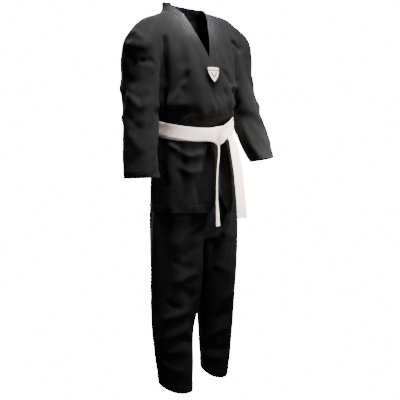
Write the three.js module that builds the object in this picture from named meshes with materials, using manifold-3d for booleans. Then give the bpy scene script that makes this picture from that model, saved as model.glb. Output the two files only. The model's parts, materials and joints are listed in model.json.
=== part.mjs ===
// A youth's martial arts uniform, worn by nobody: a V-neck pullover top, drawstring trousers
// and a tied belt, standing in the shape that a body would give them.
// Millimetres. +Z is up, the front faces -Y, the wearer's right is -X.
// The origin is the middle of the neck opening's base, where the shoulders carry the uniform.
import * as THREE from "three";
import { mergeVertices } from "three/addons/utils/BufferGeometryUtils.js";
import Module from "manifold-3d";

const wasm = await Module();
wasm.setup();

// ---- Driving dimensions -------------------------------------------------------------------
const CLOTH = 2.6; // wall that stands for one layer of cloth with its seam allowances
const SEAM_GAP = 0.3; // clearance between two sewn pieces
const ROUNDNESS = 2.3; // exponent of the rounded-box cross-sections
const BODY_SIDES = 28;
const LIMB_SIDES = 16;
const BAND_SIDES = 40;
const FAR = 900; // half size of a cutting block that only has one working face

const TOP_HEM_Z = -590;
const HEM_DEPTH = 22;
const BACK_VENT_Z = -492; // where the back skirt of the top is free to swing
const SIDE_SEAM_Y = 36; // the side seam's Y at shoulder height
const SIDE_SEAM_SLOPE = 0.075; // it comes forward by this much per millimetre down

// Neck opening, as half widths of the V seen from the front.
const V_APEX_Z = -133;
const LAPEL_WIDTH = 25;
const LAPEL_END_Z = -168;
const COLLAR_BASE_Z = 17;
const COLLAR_TOP_Z = 44;

// Vent in the front hem, just left of the centre.
const VENT_APEX = [21, -527];
const VENT_RIGHT_X = -16;
const VENT_LEFT_X = 58;

// Joints. The sleeves and legs are cut by cylinders about their hinge lines, so they turn freely.
const SLEEVE_HINGE_Y = 36;
const SLEEVE_HINGE_Z = -85;
const SLEEVE_HINGE_R = 82;
const ARMHOLE_X = 148;
const LEG_HINGE_Y = 5;
const LEG_HINGE_Z = -600;
const LEG_HINGE_R = 101;

// Belt.
const BELT_WIDTH = 40;
const BELT_THICK = 2.6;
const BELT_Z = -338;
const BELT_TILT = 0.2; // it sits lower in front by this much per millimetre of depth
const BELT_INSIDE = 4.5; // gap between the narrowest waist and the belt's first turn
const KNOT = { at: [17, -111, -359], size: [29, 13, 19] };
const KNOT_CLEAR = 13.4; // the knot starts this far outside the waist, clear of both turns
const TAILS = {
  right: { top: [8, -121, -386], end: [1, -131, -629], across: [0.588, 0.809] },
  left: { top: [52, -117, -368], end: [78, -141, -609], across: [0.94, -0.34] },
};
const TAIL_NECK = 6; // half width of a tail where it leaves the knot

// Badge, its face tilted upwards with the chest.
const BADGE_AT = [2, -98.5, -179];
const BADGE_TILT = 9;
const BADGE_THICK = 1.4;

// Facing inside the back of the neck: half width, least Y, lowest and highest Z.
const FACING = { half: 62, y: 55, low: -34, high: 36 };
const LABEL_SIZE = [38, 0.8, 20];
const LABEL_Y = 83.4;
const LABEL_Z = 8;
const LABEL_TILT = 17; // the facing behind it leans forward towards the top

// Trousers' waistband and crotch.
const CASING_DEPTH = 38;
const EYELET_X = 12;
const EYELET_Y = -79.2;
const GUSSET_OUTLINE = [[0, -46], [22, 4], [0, 56], [-22, 4]];

// ---- Cross-sections -----------------------------------------------------------------------
// Each station: height, half width, front Y, back Y.
const TOP_STATIONS = [
  [COLLAR_TOP_Z + 4, 65, 22, 90],
  [COLLAR_BASE_Z + 8, 70, 10, 86],
  [COLLAR_BASE_Z, 88, 2, 87],
  [8, 124, -6, 90],
  [-12, 170, -20, 97],
  [-38, 198, -34, 103],
  [-70, 194, -53, 107],
  [-100, 172, -68, 109],
  [-133, 150, -84, 110],
  [-170, 139, -95, 110],
  [-220, 133, -102, 107],
  [-275, 132, -102, 101],
  [-318, 128, -91, 92],
  [-348, 127, -87, 90],
  [-400, 134, -94, 99],
  [-492, 142, -100, 107],
  [TOP_HEM_Z, 148, -104, 112],
];
const BELT_WAIST = [128, -91, 92]; // half width, front Y and back Y of the waist under the belt
const TROUSER_WAIST = [119, -78, 82];
const SEAT_TOP_Z = -352;
const CROTCH_Z = -668;
const SEAT_STATIONS = [
  [SEAT_TOP_Z, ...TROUSER_WAIST],
  [-400, 124, -82, 88],
  [-470, 130, -87, 94],
  [-560, 136, -91, 99],
  [-615, 138, -90, 99],
  [-645, 134, -77, 87],
  [CROTCH_Z, 120, -60, 70],
];

// Each ring: centre, half size across the wide and the narrow way, turn of the wide way from +X
// and the rise of the ring plane along X and Y. They are for the wearer's right side.
const ARM_RINGS = [
  { at: [-138, 36, -58], wide: 58, narrow: 20, turn: -90, riseX: -2.2, riseY: 0 },
  { at: [-168, 36, -90], wide: 71, narrow: 43, turn: -90, riseX: -0.8, riseY: 0 },
  { at: [-178, 35, -128], wide: 74, narrow: 51, turn: -86, riseX: -0.2, riseY: 0 },
  { at: [-188, 27, -200], wide: 71, narrow: 49, turn: -74, riseX: 0, riseY: -0.05 },
  { at: [-202, 3, -300], wide: 66, narrow: 48, turn: -64, riseX: 0, riseY: -0.1 },
  { at: [-216, -28, -400], wide: 63, narrow: 43, turn: -60, riseX: 0, riseY: -0.08 },
  { at: [-228, -58, -484], wide: 62, narrow: 32, turn: -60, riseX: 0, riseY: -0.06 },
];
const LEFT_ARM_LIFT = 50; // the left forearm is held this much higher at the cuff
const LEG_RINGS = [
  { at: [-72, 4, -560], wide: 78, narrow: 56, turn: -80, riseX: 0, riseY: 0 },
  { at: [-76, 2, -640], wide: 78, narrow: 65, turn: -75, riseX: 0, riseY: 0 },
  { at: [-82, 0, -740], wide: 73, narrow: 67, turn: -62, riseX: 0, riseY: 0 },
  { at: [-88, -6, -850], wide: 66, narrow: 61, turn: -60, riseX: 0, riseY: 0.03 },
  { at: [-89, -12, -940], wide: 65, narrow: 57, turn: -60, riseX: 0, riseY: 0.08 },
  { at: [-88, -20, -1040], wide: 60, narrow: 50, turn: -60, riseX: 0, riseY: 0.2 },
  { at: [-87, -26, -1119], wide: 53, narrow: 42, turn: -60, riseX: 0, riseY: 0.3 },
];
const LEFT_LEG_BACK = 41; // the left leg stands this much further back at the hem
const LEFT_LEG_LIFT = 16; // and its hem hangs this much higher

// ---- Solid building -----------------------------------------------------------------------
function solidOf(geometry) {
  const bare = geometry.clone();
  bare.deleteAttribute("normal");
  bare.deleteAttribute("uv");
  const merged = mergeVertices(bare, 1e-4);
  return new wasm.Manifold(
    new wasm.Mesh({
      numProp: 3,
      vertProperties: new Float32Array(merged.attributes.position.array),
      triVerts: new Uint32Array(merged.index.array),
    }),
  );
}

function geometryOf(solid) {
  const mesh = solid.getMesh();
  const geometry = new THREE.BufferGeometry();
  geometry.setAttribute("position", new THREE.BufferAttribute(mesh.vertProperties, 3));
  geometry.setIndex(new THREE.BufferAttribute(mesh.triVerts, 1));
  return geometry;
}

// Closed skin over a list of rings, with a fan over each end, or joined end to end when looped.
function loft(rings, looped = false) {
  const sides = rings[0].length;
  const points = rings.flat();
  const faces = [];
  const spans = looped ? rings.length : rings.length - 1;
  for (let r = 0; r < spans; r++) {
    const here = r * sides;
    const next = ((r + 1) % rings.length) * sides;
    for (let s = 0; s < sides; s++) {
      const t = (s + 1) % sides;
      faces.push(here + s, here + t, next + t, here + s, next + t, next + s);
    }
  }
  if (!looped) {
    [0, rings.length - 1].forEach((r, end) => {
      const middle = new THREE.Vector3();
      rings[r].forEach((p) => middle.addScaledVector(p, 1 / sides));
      const hub = points.push(middle) - 1;
      for (let s = 0; s < sides; s++) {
        const a = r * sides + s;
        const b = r * sides + ((s + 1) % sides);
        faces.push(...(end ? [a, b, hub] : [b, a, hub]));
      }
    });
  }
  const geometry = new THREE.BufferGeometry().setFromPoints(points);
  geometry.setIndex(faces);
  const solid = solidOf(geometry);
  if (solid.volume() > 0) return solid;
  const turned = [];
  for (let i = 0; i < faces.length; i += 3) turned.push(faces[i], faces[i + 2], faces[i + 1]);
  geometry.setIndex(turned);
  return solidOf(geometry);
}

function rounded(angle) {
  const power = 2 / ROUNDNESS;
  const c = Math.cos(angle);
  const s = Math.sin(angle);
  return [Math.sign(c) * Math.abs(c) ** power, Math.sign(s) * Math.abs(s) ** power];
}

function stationRing([z, half, front, back], grow = 0, sides = BODY_SIDES) {
  return Array.from({ length: sides }, (_, i) => {
    const [c, s] = rounded((2 * Math.PI * i) / sides);
    const depth = (back - front) / 2 + grow;
    return new THREE.Vector3((half + grow) * c, (front + back) / 2 + depth * s, z);
  });
}

function limbRing(ring, grow = 0) {
  const turn = THREE.MathUtils.degToRad(ring.turn);
  return Array.from({ length: LIMB_SIDES }, (_, i) => {
    const angle = (2 * Math.PI * i) / LIMB_SIDES;
    const w = (ring.wide + grow) * Math.cos(angle);
    const n = (ring.narrow + grow) * Math.sin(angle);
    const x = w * Math.cos(turn) - n * Math.sin(turn);
    const y = w * Math.sin(turn) + n * Math.cos(turn);
    const z = ring.riseX * x + ring.riseY * y;
    return new THREE.Vector3(...ring.at).add(new THREE.Vector3(x, y, z));
  });
}

// Moves a ring along its own axis, away from the ring beside it.
function beyond(ring, beside, distance) {
  const from = new THREE.Vector3(...beside.at);
  const at = new THREE.Vector3(...ring.at);
  at.addScaledVector(at.clone().sub(from).normalize(), distance);
  return { ...ring, at: at.toArray() };
}

// A closed wall: the outside skin and the inside one, which runs past the open ends.
function bodySkins(stations, past) {
  const shifted = (station, rise) => [station[0] + rise, ...station.slice(1)];
  const inside = [shifted(stations[0], past[0]), ...stations];
  if (past[1] < 0) inside.push(shifted(stations.at(-1), past[1]));
  else inside[inside.length - 1] = shifted(stations.at(-1), past[1]);
  return {
    out: loft(stations.map((s) => stationRing(s))),
    in: loft(inside.map((s) => stationRing(s, -CLOTH))),
  };
}

function limbSkins(rings) {
  const inside = [...rings];
  inside[inside.length - 1] = beyond(rings.at(-1), rings.at(-2), 12);
  return {
    out: loft(rings.map((r) => limbRing(r))),
    in: loft(inside.map((r) => limbRing(r, -CLOTH))),
  };
}

function box(low, high) {
  const size = high.map((h, i) => h - low[i]);
  const geometry = new THREE.BoxGeometry(...size);
  geometry.translate(...low.map((l, i) => l + size[i] / 2));
  return solidOf(geometry);
}

function below(z) {
  return box([-FAR, -FAR, z - 2 * FAR], [FAR, FAR, z]);
}

function hingeCylinder(y, z, radius) {
  const geometry = new THREE.CylinderGeometry(radius, radius, 2 * FAR, 48);
  geometry.rotateZ(Math.PI / 2);
  geometry.translate(0, y, z);
  return solidOf(geometry);
}

// Everything in front of the side seam's slanting plane, moved by a distance along Y.
function frontBlock(shift) {
  const block = new THREE.BoxGeometry(2 * FAR, 2 * FAR, 2 * FAR);
  block.translate(0, -FAR, 0);
  block.rotateX(-Math.atan(SIDE_SEAM_SLOPE));
  block.translate(0, SIDE_SEAM_Y + shift, 0);
  return solidOf(block);
}

// A prism along Y over an outline drawn in X and Z.
function prismAlongY(outline, fromY, toY) {
  const shape = new THREE.Shape(outline.map(([x, z]) => new THREE.Vector2(x, z)));
  const geometry = new THREE.ExtrudeGeometry(shape, { depth: toY - fromY, bevelEnabled: false });
  geometry.rotateX(Math.PI / 2);
  geometry.translate(0, toY, 0);
  return solidOf(geometry);
}

// The neck's V from the front, widened by a distance on each side.
function neckWedge(widen, lowZ) {
  const edge = [
    [widen * 0.94, lowZ],
    [16 + widen, -78],
    [27 + widen, -40],
    [41 + widen, 0],
    [52 + widen * 1.2, COLLAR_BASE_Z + 4],
    [52 + widen * 1.2, 120],
  ];
  const right = edge.map(([x, z]) => [-x, z]).reverse();
  const low = widen ? [] : [[0, lowZ]];
  const outline = widen ? [...edge, ...right] : [...low, ...edge.slice(1), ...right.slice(0, -1)];
  return prismAlongY(outline, -FAR / 2, SIDE_SEAM_Y);
}

const mirrored = (ring) => ({
  ...ring,
  at: [-ring.at[0], ring.at[1], ring.at[2]],
  turn: 180 - ring.turn,
  riseX: -ring.riseX,
});

// ---- Pieces -------------------------------------------------------------------------------
const pieces = []; // [name, solid, material]

const cloth = (name, colour = 0x141416) =>
  new THREE.MeshStandardMaterial({ name, color: colour, roughness: 0.88, metalness: 0 });
const BLACK = cloth("black_cloth");
const BAND = cloth("black_band", 0x191a1c);
const CREAM = cloth("cream_belt", 0xe4dad0);
const BADGE = cloth("badge_cloth", 0xded6cc);
const LABEL = cloth("label_cloth", 0xd9d9d6);
const ELASTIC = cloth("elastic", 0xcfcfca);
const STEEL = new THREE.MeshStandardMaterial({ color: 0x9a9c9e, roughness: 0.35, metalness: 0.9 });

const add = (name, solid, material = BLACK) => pieces.push([name, solid, material]);

// The left arm bends a little more, which lifts the cuff.
function leftArm() {
  const rings = ARM_RINGS.map(mirrored);
  const last = rings.length - 1;
  return rings.map((ring, i) => {
    const share = Math.max(0, (i - 2) / (last - 2));
    const at = [ring.at[0], ring.at[1], ring.at[2] + LEFT_ARM_LIFT * share ** 1.3];
    return { ...ring, at, riseX: ring.riseX + 0.1 * share, riseY: ring.riseY - 0.1 * share };
  });
}

// The left leg sweeps back.
function leftLeg() {
  const rings = LEG_RINGS.map(mirrored);
  const last = rings.length - 1;
  return rings.map((ring, i) => {
    const share = i / last;
    const at = [ring.at[0], ring.at[1] + LEFT_LEG_BACK * share, ring.at[2] + LEFT_LEG_LIFT * share];
    return { ...ring, at };
  });
}

// Everything on one side of the middle.
function halfSpace(side) {
  const [from, to] = side === "right" ? [-FAR, 0] : [0, FAR];
  return box([from, -FAR, -2 * FAR], [to, FAR, FAR]);
}

// A block beyond a plane across a limb, a distance before its last ring.
function endBlock(rings, distance) {
  const last = rings.at(-1);
  const before = beyond(last, rings.at(-2), -distance);
  const normal = new THREE.Vector3(last.riseX, last.riseY, -1).normalize();
  const block = new THREE.BoxGeometry(2 * FAR, 2 * FAR, 2 * FAR);
  block.translate(0, 0, FAR);
  const turn = new THREE.Quaternion().setFromUnitVectors(new THREE.Vector3(0, 0, 1), normal);
  block.applyQuaternion(turn);
  block.translate(...before.at);
  return solidOf(block);
}

// The largest single body, leaving out slivers that a cut may part from it.
function mainBody(solid) {
  return solid.decompose().sort((a, b) => b.volume() - a.volume())[0];
}

function buildTop() {
  const trunk = bodySkins(TOP_STATIONS, [12, -12]);
  const arms = { right: ARM_RINGS, left: leftArm() };
  const skins = { right: limbSkins(arms.right), left: limbSkins(arms.left) };
  const outside = trunk.out.add(skins.right.out).add(skins.left.out);
  const inside = trunk.in.add(skins.right.in).add(skins.left.in);
  const shell = outside.subtract(inside).intersect(below(COLLAR_TOP_Z));

  // The arm side of the hinge line: outboard of the armhole, below it and outside its cylinder.
  const armZone = (gap) => {
    const x = ARMHOLE_X + gap;
    const low = SLEEVE_HINGE_Z;
    const right = box([-FAR, -FAR, -FAR], [-x, FAR, low]);
    const left = box([x, -FAR, -FAR], [FAR, FAR, low]);
    return right
      .add(left)
      .subtract(hingeCylinder(SLEEVE_HINGE_Y, SLEEVE_HINGE_Z, SLEEVE_HINGE_R + gap));
  };
  const sleeves = shell.intersect(armZone(SEAM_GAP));
  for (const side of ["right", "left"]) {
    const sleeve = sleeves.intersect(halfSpace(side));
    const hemFrom = (distance) => endBlock(arms[side], distance);
    add(`sleeve_${side}`, mainBody(sleeve.subtract(hemFrom(HEM_DEPTH + SEAM_GAP))));
    add(`sleeve_hem_${side}`, mainBody(sleeve.intersect(hemFrom(HEM_DEPTH))), BAND);
  }

  const body = shell.subtract(armZone(0));
  const opening = neckWedge(0, V_APEX_Z);
  const bandZone = neckWedge(LAPEL_WIDTH, LAPEL_END_Z);
  const collarZone = box([-FAR, SIDE_SEAM_Y, COLLAR_BASE_Z], [FAR, FAR, FAR]);
  const front = body.intersect(frontBlock(-SEAM_GAP / 2));
  const back = body.subtract(frontBlock(SEAM_GAP / 2));

  // Front panel, with the vent in its hem, and the two halves of the lapel.
  const vent = prismAlongY(
    [[VENT_RIGHT_X, TOP_HEM_Z - 5], [VENT_LEFT_X, TOP_HEM_Z - 5], VENT_APEX],
    -FAR / 2,
    0,
  );
  const lapels = front.intersect(bandZone).subtract(opening);
  const grown = neckWedge(LAPEL_WIDTH + SEAM_GAP, LAPEL_END_Z - SEAM_GAP);
  const panel = front.subtract(grown).subtract(vent);
  const hemZ = TOP_HEM_Z + HEM_DEPTH;
  add("front_panel", mainBody(panel.subtract(below(hemZ))));
  const frontHem = panel.intersect(below(hemZ - SEAM_GAP));
  const rightOfVent = box([-FAR, -FAR, -FAR], [VENT_APEX[0], FAR, FAR]);
  add("front_hem_right", mainBody(frontHem.intersect(rightOfVent)), BAND);
  add("front_hem_left", mainBody(frontHem.subtract(rightOfVent)), BAND);
  const rightHalf = box([-FAR, -FAR, -FAR], [-SEAM_GAP / 2, FAR, FAR]);
  const leftHalf = box([SEAM_GAP / 2, -FAR, -FAR], [FAR, FAR, FAR]);
  add("lapel_right", mainBody(lapels.intersect(rightHalf)), BAND);
  add("lapel_left", mainBody(lapels.intersect(leftHalf)), BAND);

  // Back panel, its free skirt below the vents, the hem and the standing collar.
  const collarCut = box([-FAR, SIDE_SEAM_Y, COLLAR_BASE_Z - SEAM_GAP], [FAR, FAR, FAR]);
  add("back_neck_band", mainBody(back.intersect(collarZone)), BAND);
  const backBody = back.subtract(collarCut);
  add("back_panel", mainBody(backBody.subtract(below(BACK_VENT_Z))));
  const skirt = backBody.intersect(below(BACK_VENT_Z - 2 * SEAM_GAP));
  const trimmed = skirt.intersect(box([-FAR, 4, -FAR], [FAR, FAR, FAR]));
  add("back_skirt", mainBody(trimmed.subtract(below(hemZ))));
  add("back_hem", mainBody(trimmed.intersect(below(hemZ - SEAM_GAP))), BAND);

  // Facing inside the back of the neck, with a blank size label on it.
  const facingOut = loft(TOP_STATIONS.slice(0, 7).map((s) => stationRing(s, -CLOTH - SEAM_GAP)));
  const facingIn = loft(TOP_STATIONS.slice(0, 7).map((s) => stationRing(s, -2 * CLOTH)));
  const facingBlock = box([-FACING.half, FACING.y, FACING.low], [FACING.half, FAR, FACING.high]);
  add("neck_facing", mainBody(facingOut.subtract(facingIn).intersect(facingBlock)), BAND);
}

// A closed band round a cross-section: its profile is given as steps outwards and heights.
function bandRound(station, profile, tilt = 0, sides = BAND_SIDES) {
  const rings = profile.map(([out, z]) => {
    const ring = stationRing([0, ...station], out, sides);
    ring.forEach((p) => p.setZ(z + tilt * p.y));
    return ring;
  });
  return loft(rings, true);
}

function buildTrousers() {
  const seat = bodySkins(SEAT_STATIONS, [12, CLOTH]);
  const legs = { right: LEG_RINGS, left: leftLeg() };
  const skins = { right: limbSkins(legs.right), left: limbSkins(legs.left) };
  const outside = seat.out.add(skins.right.out).add(skins.left.out);
  const inside = seat.in.add(skins.right.in).add(skins.left.in);
  const shell = outside.subtract(inside);

  const legZone = (gap) =>
    below(LEG_HINGE_Z).subtract(hingeCylinder(LEG_HINGE_Y, LEG_HINGE_Z, LEG_HINGE_R + gap));
  const frontOf = (y) => box([-FAR, -FAR, -2 * FAR], [FAR, y, FAR]);
  const seatShell = shell.subtract(legZone(0));
  const gussetPrism = (grow) => {
    const middleY = GUSSET_OUTLINE[1][1];
    const moved = (y) => middleY + (y - middleY) * grow;
    const outline = GUSSET_OUTLINE.map(([x, y]) => new THREE.Vector2(x * grow, moved(y)));
    const past = 10;
    const shape = new THREE.Shape(outline);
    const block = new THREE.ExtrudeGeometry(shape, { depth: 2 * past, bevelEnabled: false });
    block.translate(0, 0, CROTCH_Z - past);
    return solidOf(block);
  };
  add("crotch_gusset", mainBody(seatShell.intersect(gussetPrism(1))), BAND);
  const open = seatShell.subtract(gussetPrism(1.02));
  add("seat_front", mainBody(open.intersect(frontOf(LEG_HINGE_Y - SEAM_GAP / 2))));
  add("seat_back", mainBody(open.subtract(frontOf(LEG_HINGE_Y + SEAM_GAP / 2))));

  const moving = shell.intersect(legZone(SEAM_GAP));
  for (const side of ["right", "left"]) {
    const leg = moving.intersect(halfSpace(side));
    const rings = legs[side];
    const hemCut = endBlock(rings, HEM_DEPTH + SEAM_GAP);
    const upper = leg.subtract(hemCut);
    // The inseam and the side seam run down the middle of each leg.
    const seam = (shift) => {
      const path = rings.map((r) => [r.at[1] + shift, r.at[2]]);
      path.unshift([path[0][0], 0]);
      path.push([path.at(-1)[0], -2 * FAR]);
      const shape = new THREE.Shape();
      shape.moveTo(-FAR, 0);
      path.forEach(([y, z]) => shape.lineTo(y, z));
      shape.lineTo(-FAR, -2 * FAR);
      const block = new THREE.ExtrudeGeometry(shape, { depth: 2 * FAR, bevelEnabled: false });
      block.rotateX(Math.PI / 2);
      block.rotateZ(Math.PI / 2);
      block.translate(-FAR, 0, 0);
      return solidOf(block);
    };
    add(`leg_front_${side}`, mainBody(upper.intersect(seam(-SEAM_GAP / 2))));
    add(`leg_back_${side}`, mainBody(upper.subtract(seam(SEAM_GAP / 2))));
    add(`leg_hem_${side}`, mainBody(leg.intersect(endBlock(rings, HEM_DEPTH))), BAND);
  }

  // Folded waistband casing with the elastic inside it, and the drawstring's two eyelets.
  const casingTop = SEAT_TOP_Z + CASING_DEPTH;
  const casingLow = SEAT_TOP_Z + SEAM_GAP;
  add(
    "waistband_casing",
    bandRound(TROUSER_WAIST, [
      [0, casingLow],
      [0, casingTop],
      [-6, casingTop],
      [-6, casingLow],
      [-4.4, casingLow],
      [-4.4, casingTop - 1.6],
      [-1.6, casingTop - 1.6],
      [-1.6, casingLow],
    ]),
    BAND,
  );
  add(
    "waist_elastic",
    bandRound(TROUSER_WAIST, [
      [-2, casingLow + 4],
      [-2, casingTop - 3],
      [-4, casingTop - 3],
      [-4, casingLow + 4],
    ]),
    ELASTIC,
  );
}

function eyelet(name, x) {
  const profile = [[2, -0.6], [4, -0.6], [4, 0.6], [2, 0.6], [2, -0.6]];
  const ring = new THREE.LatheGeometry(profile.map(([r, h]) => new THREE.Vector2(r, h)), 10);
  ring.translate(x, EYELET_Y, SEAT_TOP_Z + CASING_DEPTH / 2);
  add(name, solidOf(ring), STEEL);
}

// A hanging tail, narrow where it leaves the knot.
function tailSolid({ top, end, across }) {
  const from = new THREE.Vector3(...top);
  const to = new THREE.Vector3(...end);
  const wide = new THREE.Vector3(across[0], across[1], 0);
  const thick = new THREE.Vector3().crossVectors(wide, to.clone().sub(from)).normalize();
  const shares = [0, 0.08, 0.2, 0.6, 1];
  const widths = [TAIL_NECK, 13, BELT_WIDTH / 2, BELT_WIDTH / 2, BELT_WIDTH / 2];
  const rings = shares.map((share, i) => {
    const middle = from.clone().lerp(to, share);
    return [[1, 1], [-1, 1], [-1, -1], [1, -1]].map(([w, t]) =>
      middle.clone().addScaledVector(wide, w * widths[i]).addScaledVector(thick, (t * BELT_THICK) / 2),
    );
  });
  return loft(rings);
}

// The belt's two turns, its knot and its two hanging tails.
function buildBelt() {
  const turn = (inner) => {
    const outer = inner + BELT_THICK;
    const low = BELT_Z - BELT_WIDTH / 2;
    const high = BELT_Z + BELT_WIDTH / 2;
    const profile = [[outer, low], [outer, high], [inner, high], [inner, low]];
    return bandRound(BELT_WAIST, profile, BELT_TILT);
  };
  const firstTurn = turn(BELT_INSIDE);
  const secondTurn = turn(BELT_INSIDE + BELT_THICK + SEAM_GAP);
  add("belt_first_turn", firstTurn, CREAM);
  add("belt_second_turn", secondTurn, CREAM);
  const knot = new THREE.SphereGeometry(1, 16, 10);
  knot.scale(...KNOT.size);
  knot.translate(...KNOT.at);
  const low = KNOT.at[2] - 2 * BELT_WIDTH;
  const high = KNOT.at[2] + 2 * BELT_WIDTH;
  const cleared = bandRound(BELT_WAIST, [
    [KNOT_CLEAR, low],
    [KNOT_CLEAR, high],
    [-BELT_WIDTH / 2, high],
    [-BELT_WIDTH / 2, low],
  ]);
  add("belt_knot", mainBody(solidOf(knot).subtract(cleared)), CREAM);
  for (const side of ["right", "left"]) add(`belt_tail_${side}`, tailSolid(TAILS[side]), CREAM);
}

// Shield badge just under the V.
function buildBadge() {
  const shape = new THREE.Shape();
  shape.moveTo(-22, 22);
  shape.quadraticCurveTo(0, 25, 22, 22);
  shape.quadraticCurveTo(24, -4, 0, -25);
  shape.quadraticCurveTo(-24, -4, -22, 22);
  const solid = { depth: BADGE_THICK, bevelEnabled: false, curveSegments: 8 };
  const plate = new THREE.ExtrudeGeometry(shape, solid);
  plate.rotateX(Math.PI / 2);
  const mesh = new THREE.Mesh(plate, BADGE);
  mesh.name = "chest_badge";
  mesh.position.set(...BADGE_AT);
  mesh.rotation.x = THREE.MathUtils.degToRad(-BADGE_TILT);
  return mesh;
}

// The blank label inside the neck.
function buildLabel() {
  const mesh = new THREE.Mesh(new THREE.BoxGeometry(...LABEL_SIZE), LABEL);
  mesh.name = "size_label";
  mesh.position.set(0, LABEL_Y, LABEL_Z);
  mesh.rotation.x = THREE.MathUtils.degToRad(LABEL_TILT);
  return mesh;
}

buildTop();
buildTrousers();
eyelet("eyelet_right", -EYELET_X);
eyelet("eyelet_left", EYELET_X);
buildBelt();

const uniform = new THREE.Group();
for (const [name, solid, material] of pieces) {
  const mesh = new THREE.Mesh(geometryOf(solid), material);
  mesh.name = name;
  uniform.add(mesh);
}
uniform.add(buildBadge());
uniform.add(buildLabel());

export default uniform;
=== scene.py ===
"""Looks of a youth's martial arts uniform: a V-neck top, trousers and a tied belt.

The garments are lofted in the shape that a body gives them, remeshed, creased by a seeded cloth
simulation and by modelled folds, and then cut into their sewn pieces. Lengths in the tables
are millimetres and are turned into metres where they are used.
"""

import json
import math

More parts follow.
